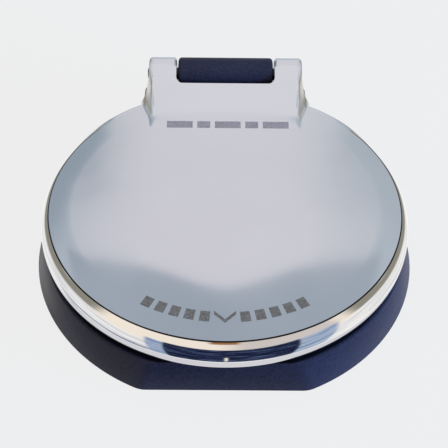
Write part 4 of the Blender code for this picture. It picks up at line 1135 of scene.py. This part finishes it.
def build_world():
    """The room that the metal reflects: pale cards behind and above, a dark opening in front.

    Angles are in degrees. Height is above the horizon, azimuth from the rear, positive to the right.
    """
    world = bpy.data.worlds.new("studio")
    world.use_nodes = True
    tree = world.node_tree
    g = Graph(tree, tree.nodes.new("ShaderNodeTexCoord").outputs["Generated"])
    to_degrees = 180.0 / math.pi
    waves = g.maths("MULTIPLY", g.maths("SUBTRACT", g.noise(2.2, 2.0), 0.5), 14.0)
    height = g.maths("MULTIPLY", g.maths("ARCSINE", g.along("Z")), to_degrees)
    elevation = g.maths("ADD", height, waves)
    azimuth = g.maths("MULTIPLY", g.maths("ARCTAN2", g.along("X"), g.along("Y")), to_degrees)
    off_rear = g.maths("ABSOLUTE", azimuth)

    def waved(low, high, soft):
        return g.band(elevation, low, high, soft)

    def level(low, high, soft):
        return g.band(height, low, high, soft)

    def turn(low, high, soft):
        return g.band(azimuth, low, high, soft)

    def off(low, high, soft):
        return g.band(off_rear, low, high, soft)

    def paint(under, colour, *masks):
        share = masks[0]
        for mask in masks[1:]:
            share = g.maths("MULTIPLY", share, mask)
        return g.mix(share, under, colour)

    streaks = g.span(g.noise(1.0, 3.0, 0.6, vector=g.stretched((2.0, 2.0, 20.0))), 0.36, 0.64)
    tilt = g.maths("SUBTRACT", height, g.maths("MULTIPLY", off_rear, 0.35))
    front_opening = g.maths("MAXIMUM", turn(142.0, 181.0, 2.0), turn(-181.0, -150.0, 2.0))
    beside_opening = g.maths("MAXIMUM", turn(122.0, 181.0, 4.0), turn(-181.0, -141.0, 3.0))

    # Behind and above: what the cover's top and tab reflect.
    room = (0.56, 0.63, 0.70)
    room = paint(room, (0.86, 0.86, 0.91), waved(74.0, 100.0, 8.0))
    room = paint(room, (0.82, 0.81, 0.87), waved(35.0, 100.0, 5.0), off(-1.0, 13.0, 8.0))
    room = paint(room, (0.80, 0.80, 0.85), waved(22.0, 40.0, 8.0), off(-1.0, 11.0, 6.0))
    room = paint(room, (0.36, 0.44, 0.51), waved(12.0, 42.0, 4.0), turn(-60.0, -13.0, 4.0))
    room = paint(room, (0.52, 0.59, 0.65), waved(12.0, 42.0, 4.0), turn(13.0, 60.0, 4.0))

    # In front and at the sides: what the rim reflects.
    white = g.mix(streaks, (1.20, 1.18, 1.13), (0.82, 0.83, 0.86))
    room = paint(room, white, level(-52.0, 0.0, 4.0), off(18.0, 181.0, 6.0))
    room = paint(room, (1.18, 1.06, 0.90), level(2.0, 60.0, 8.0), off(112.0, 181.0, 10.0))
    room = paint(room, (0.80, 0.73, 0.67), level(10.0, 60.0, 6.0), off(124.0, 181.0, 10.0),
                 g.span(g.along("X"), -0.10, 0.22))
    room = paint(room, (0.34, 0.32, 0.26), g.span(tilt, -38.0, -30.0), level(-30.0, 23.0, 6.0),
                 off(30.0, 104.0, 14.0))
    room = paint(room, (0.74, 0.80, 0.88), level(16.0, 50.0, 6.0), off(56.0, 82.0, 8.0))
    room = paint(room, (0.16, 0.22, 0.36), level(-42.0, -33.0, 3.0), turn(-142.0, -80.0, 8.0),
                 streaks)
    blues = g.mix(streaks, (0.62, 0.72, 0.88), (0.26, 0.36, 0.55))
    room = paint(room, blues, level(-40.0, 9.0, 4.0), beside_opening)
    slats = g.span(g.noise(1.0, 4.0, 0.7, vector=g.stretched((3.0, 3.0, 34.0))), 0.52, 0.66)
    opening = g.mix(slats, (0.012, 0.017, 0.050), (0.16, 0.23, 0.44))
    room = paint(room, opening, level(-40.0, 10.0, 3.0), front_opening)
    room = paint(room, (1.1, 1.08, 0.95), level(-36.0, -22.0, 3.0), turn(178.4, 179.4, 0.7))
    room = paint(room, (0.40, 0.20, 0.08), level(35.0, 42.0, 3.0), off(174.0, 181.0, 5.0))
    room = paint(room, (0.84, 0.84, 0.87), level(-91.0, -48.0, 3.0))
    background = tree.nodes["Background"]
    tree.links.new(room, background.inputs["Color"])
    background.inputs["Strength"].default_value = 1.0
    bpy.context.scene.world = world


def build_studio():
    bpy.context.scene.view_settings.view_transform = "Standard"
    build_backdrop(build_floor())
    build_card()
    build_world()
    build_light("top_softbox", (0.0, 0.1, 0.9), (0.9, 0.9), 4.0, (1.0, 1.0, 1.0))
    build_light("side_softbox", (0.75, -0.30, 0.20), (0.5, 0.3), 21.0, (0.20, 0.50, 1.0))


build_cover()
build_marks()
build_base()
build_pin()
build_buffers()
build_boot()
build_clamp_ring()
build_screws()
build_gasket()
build_seal()
build_bottom_plate()
build_grommet()
build_spring()
finish_cad_nodes()
build_studio()
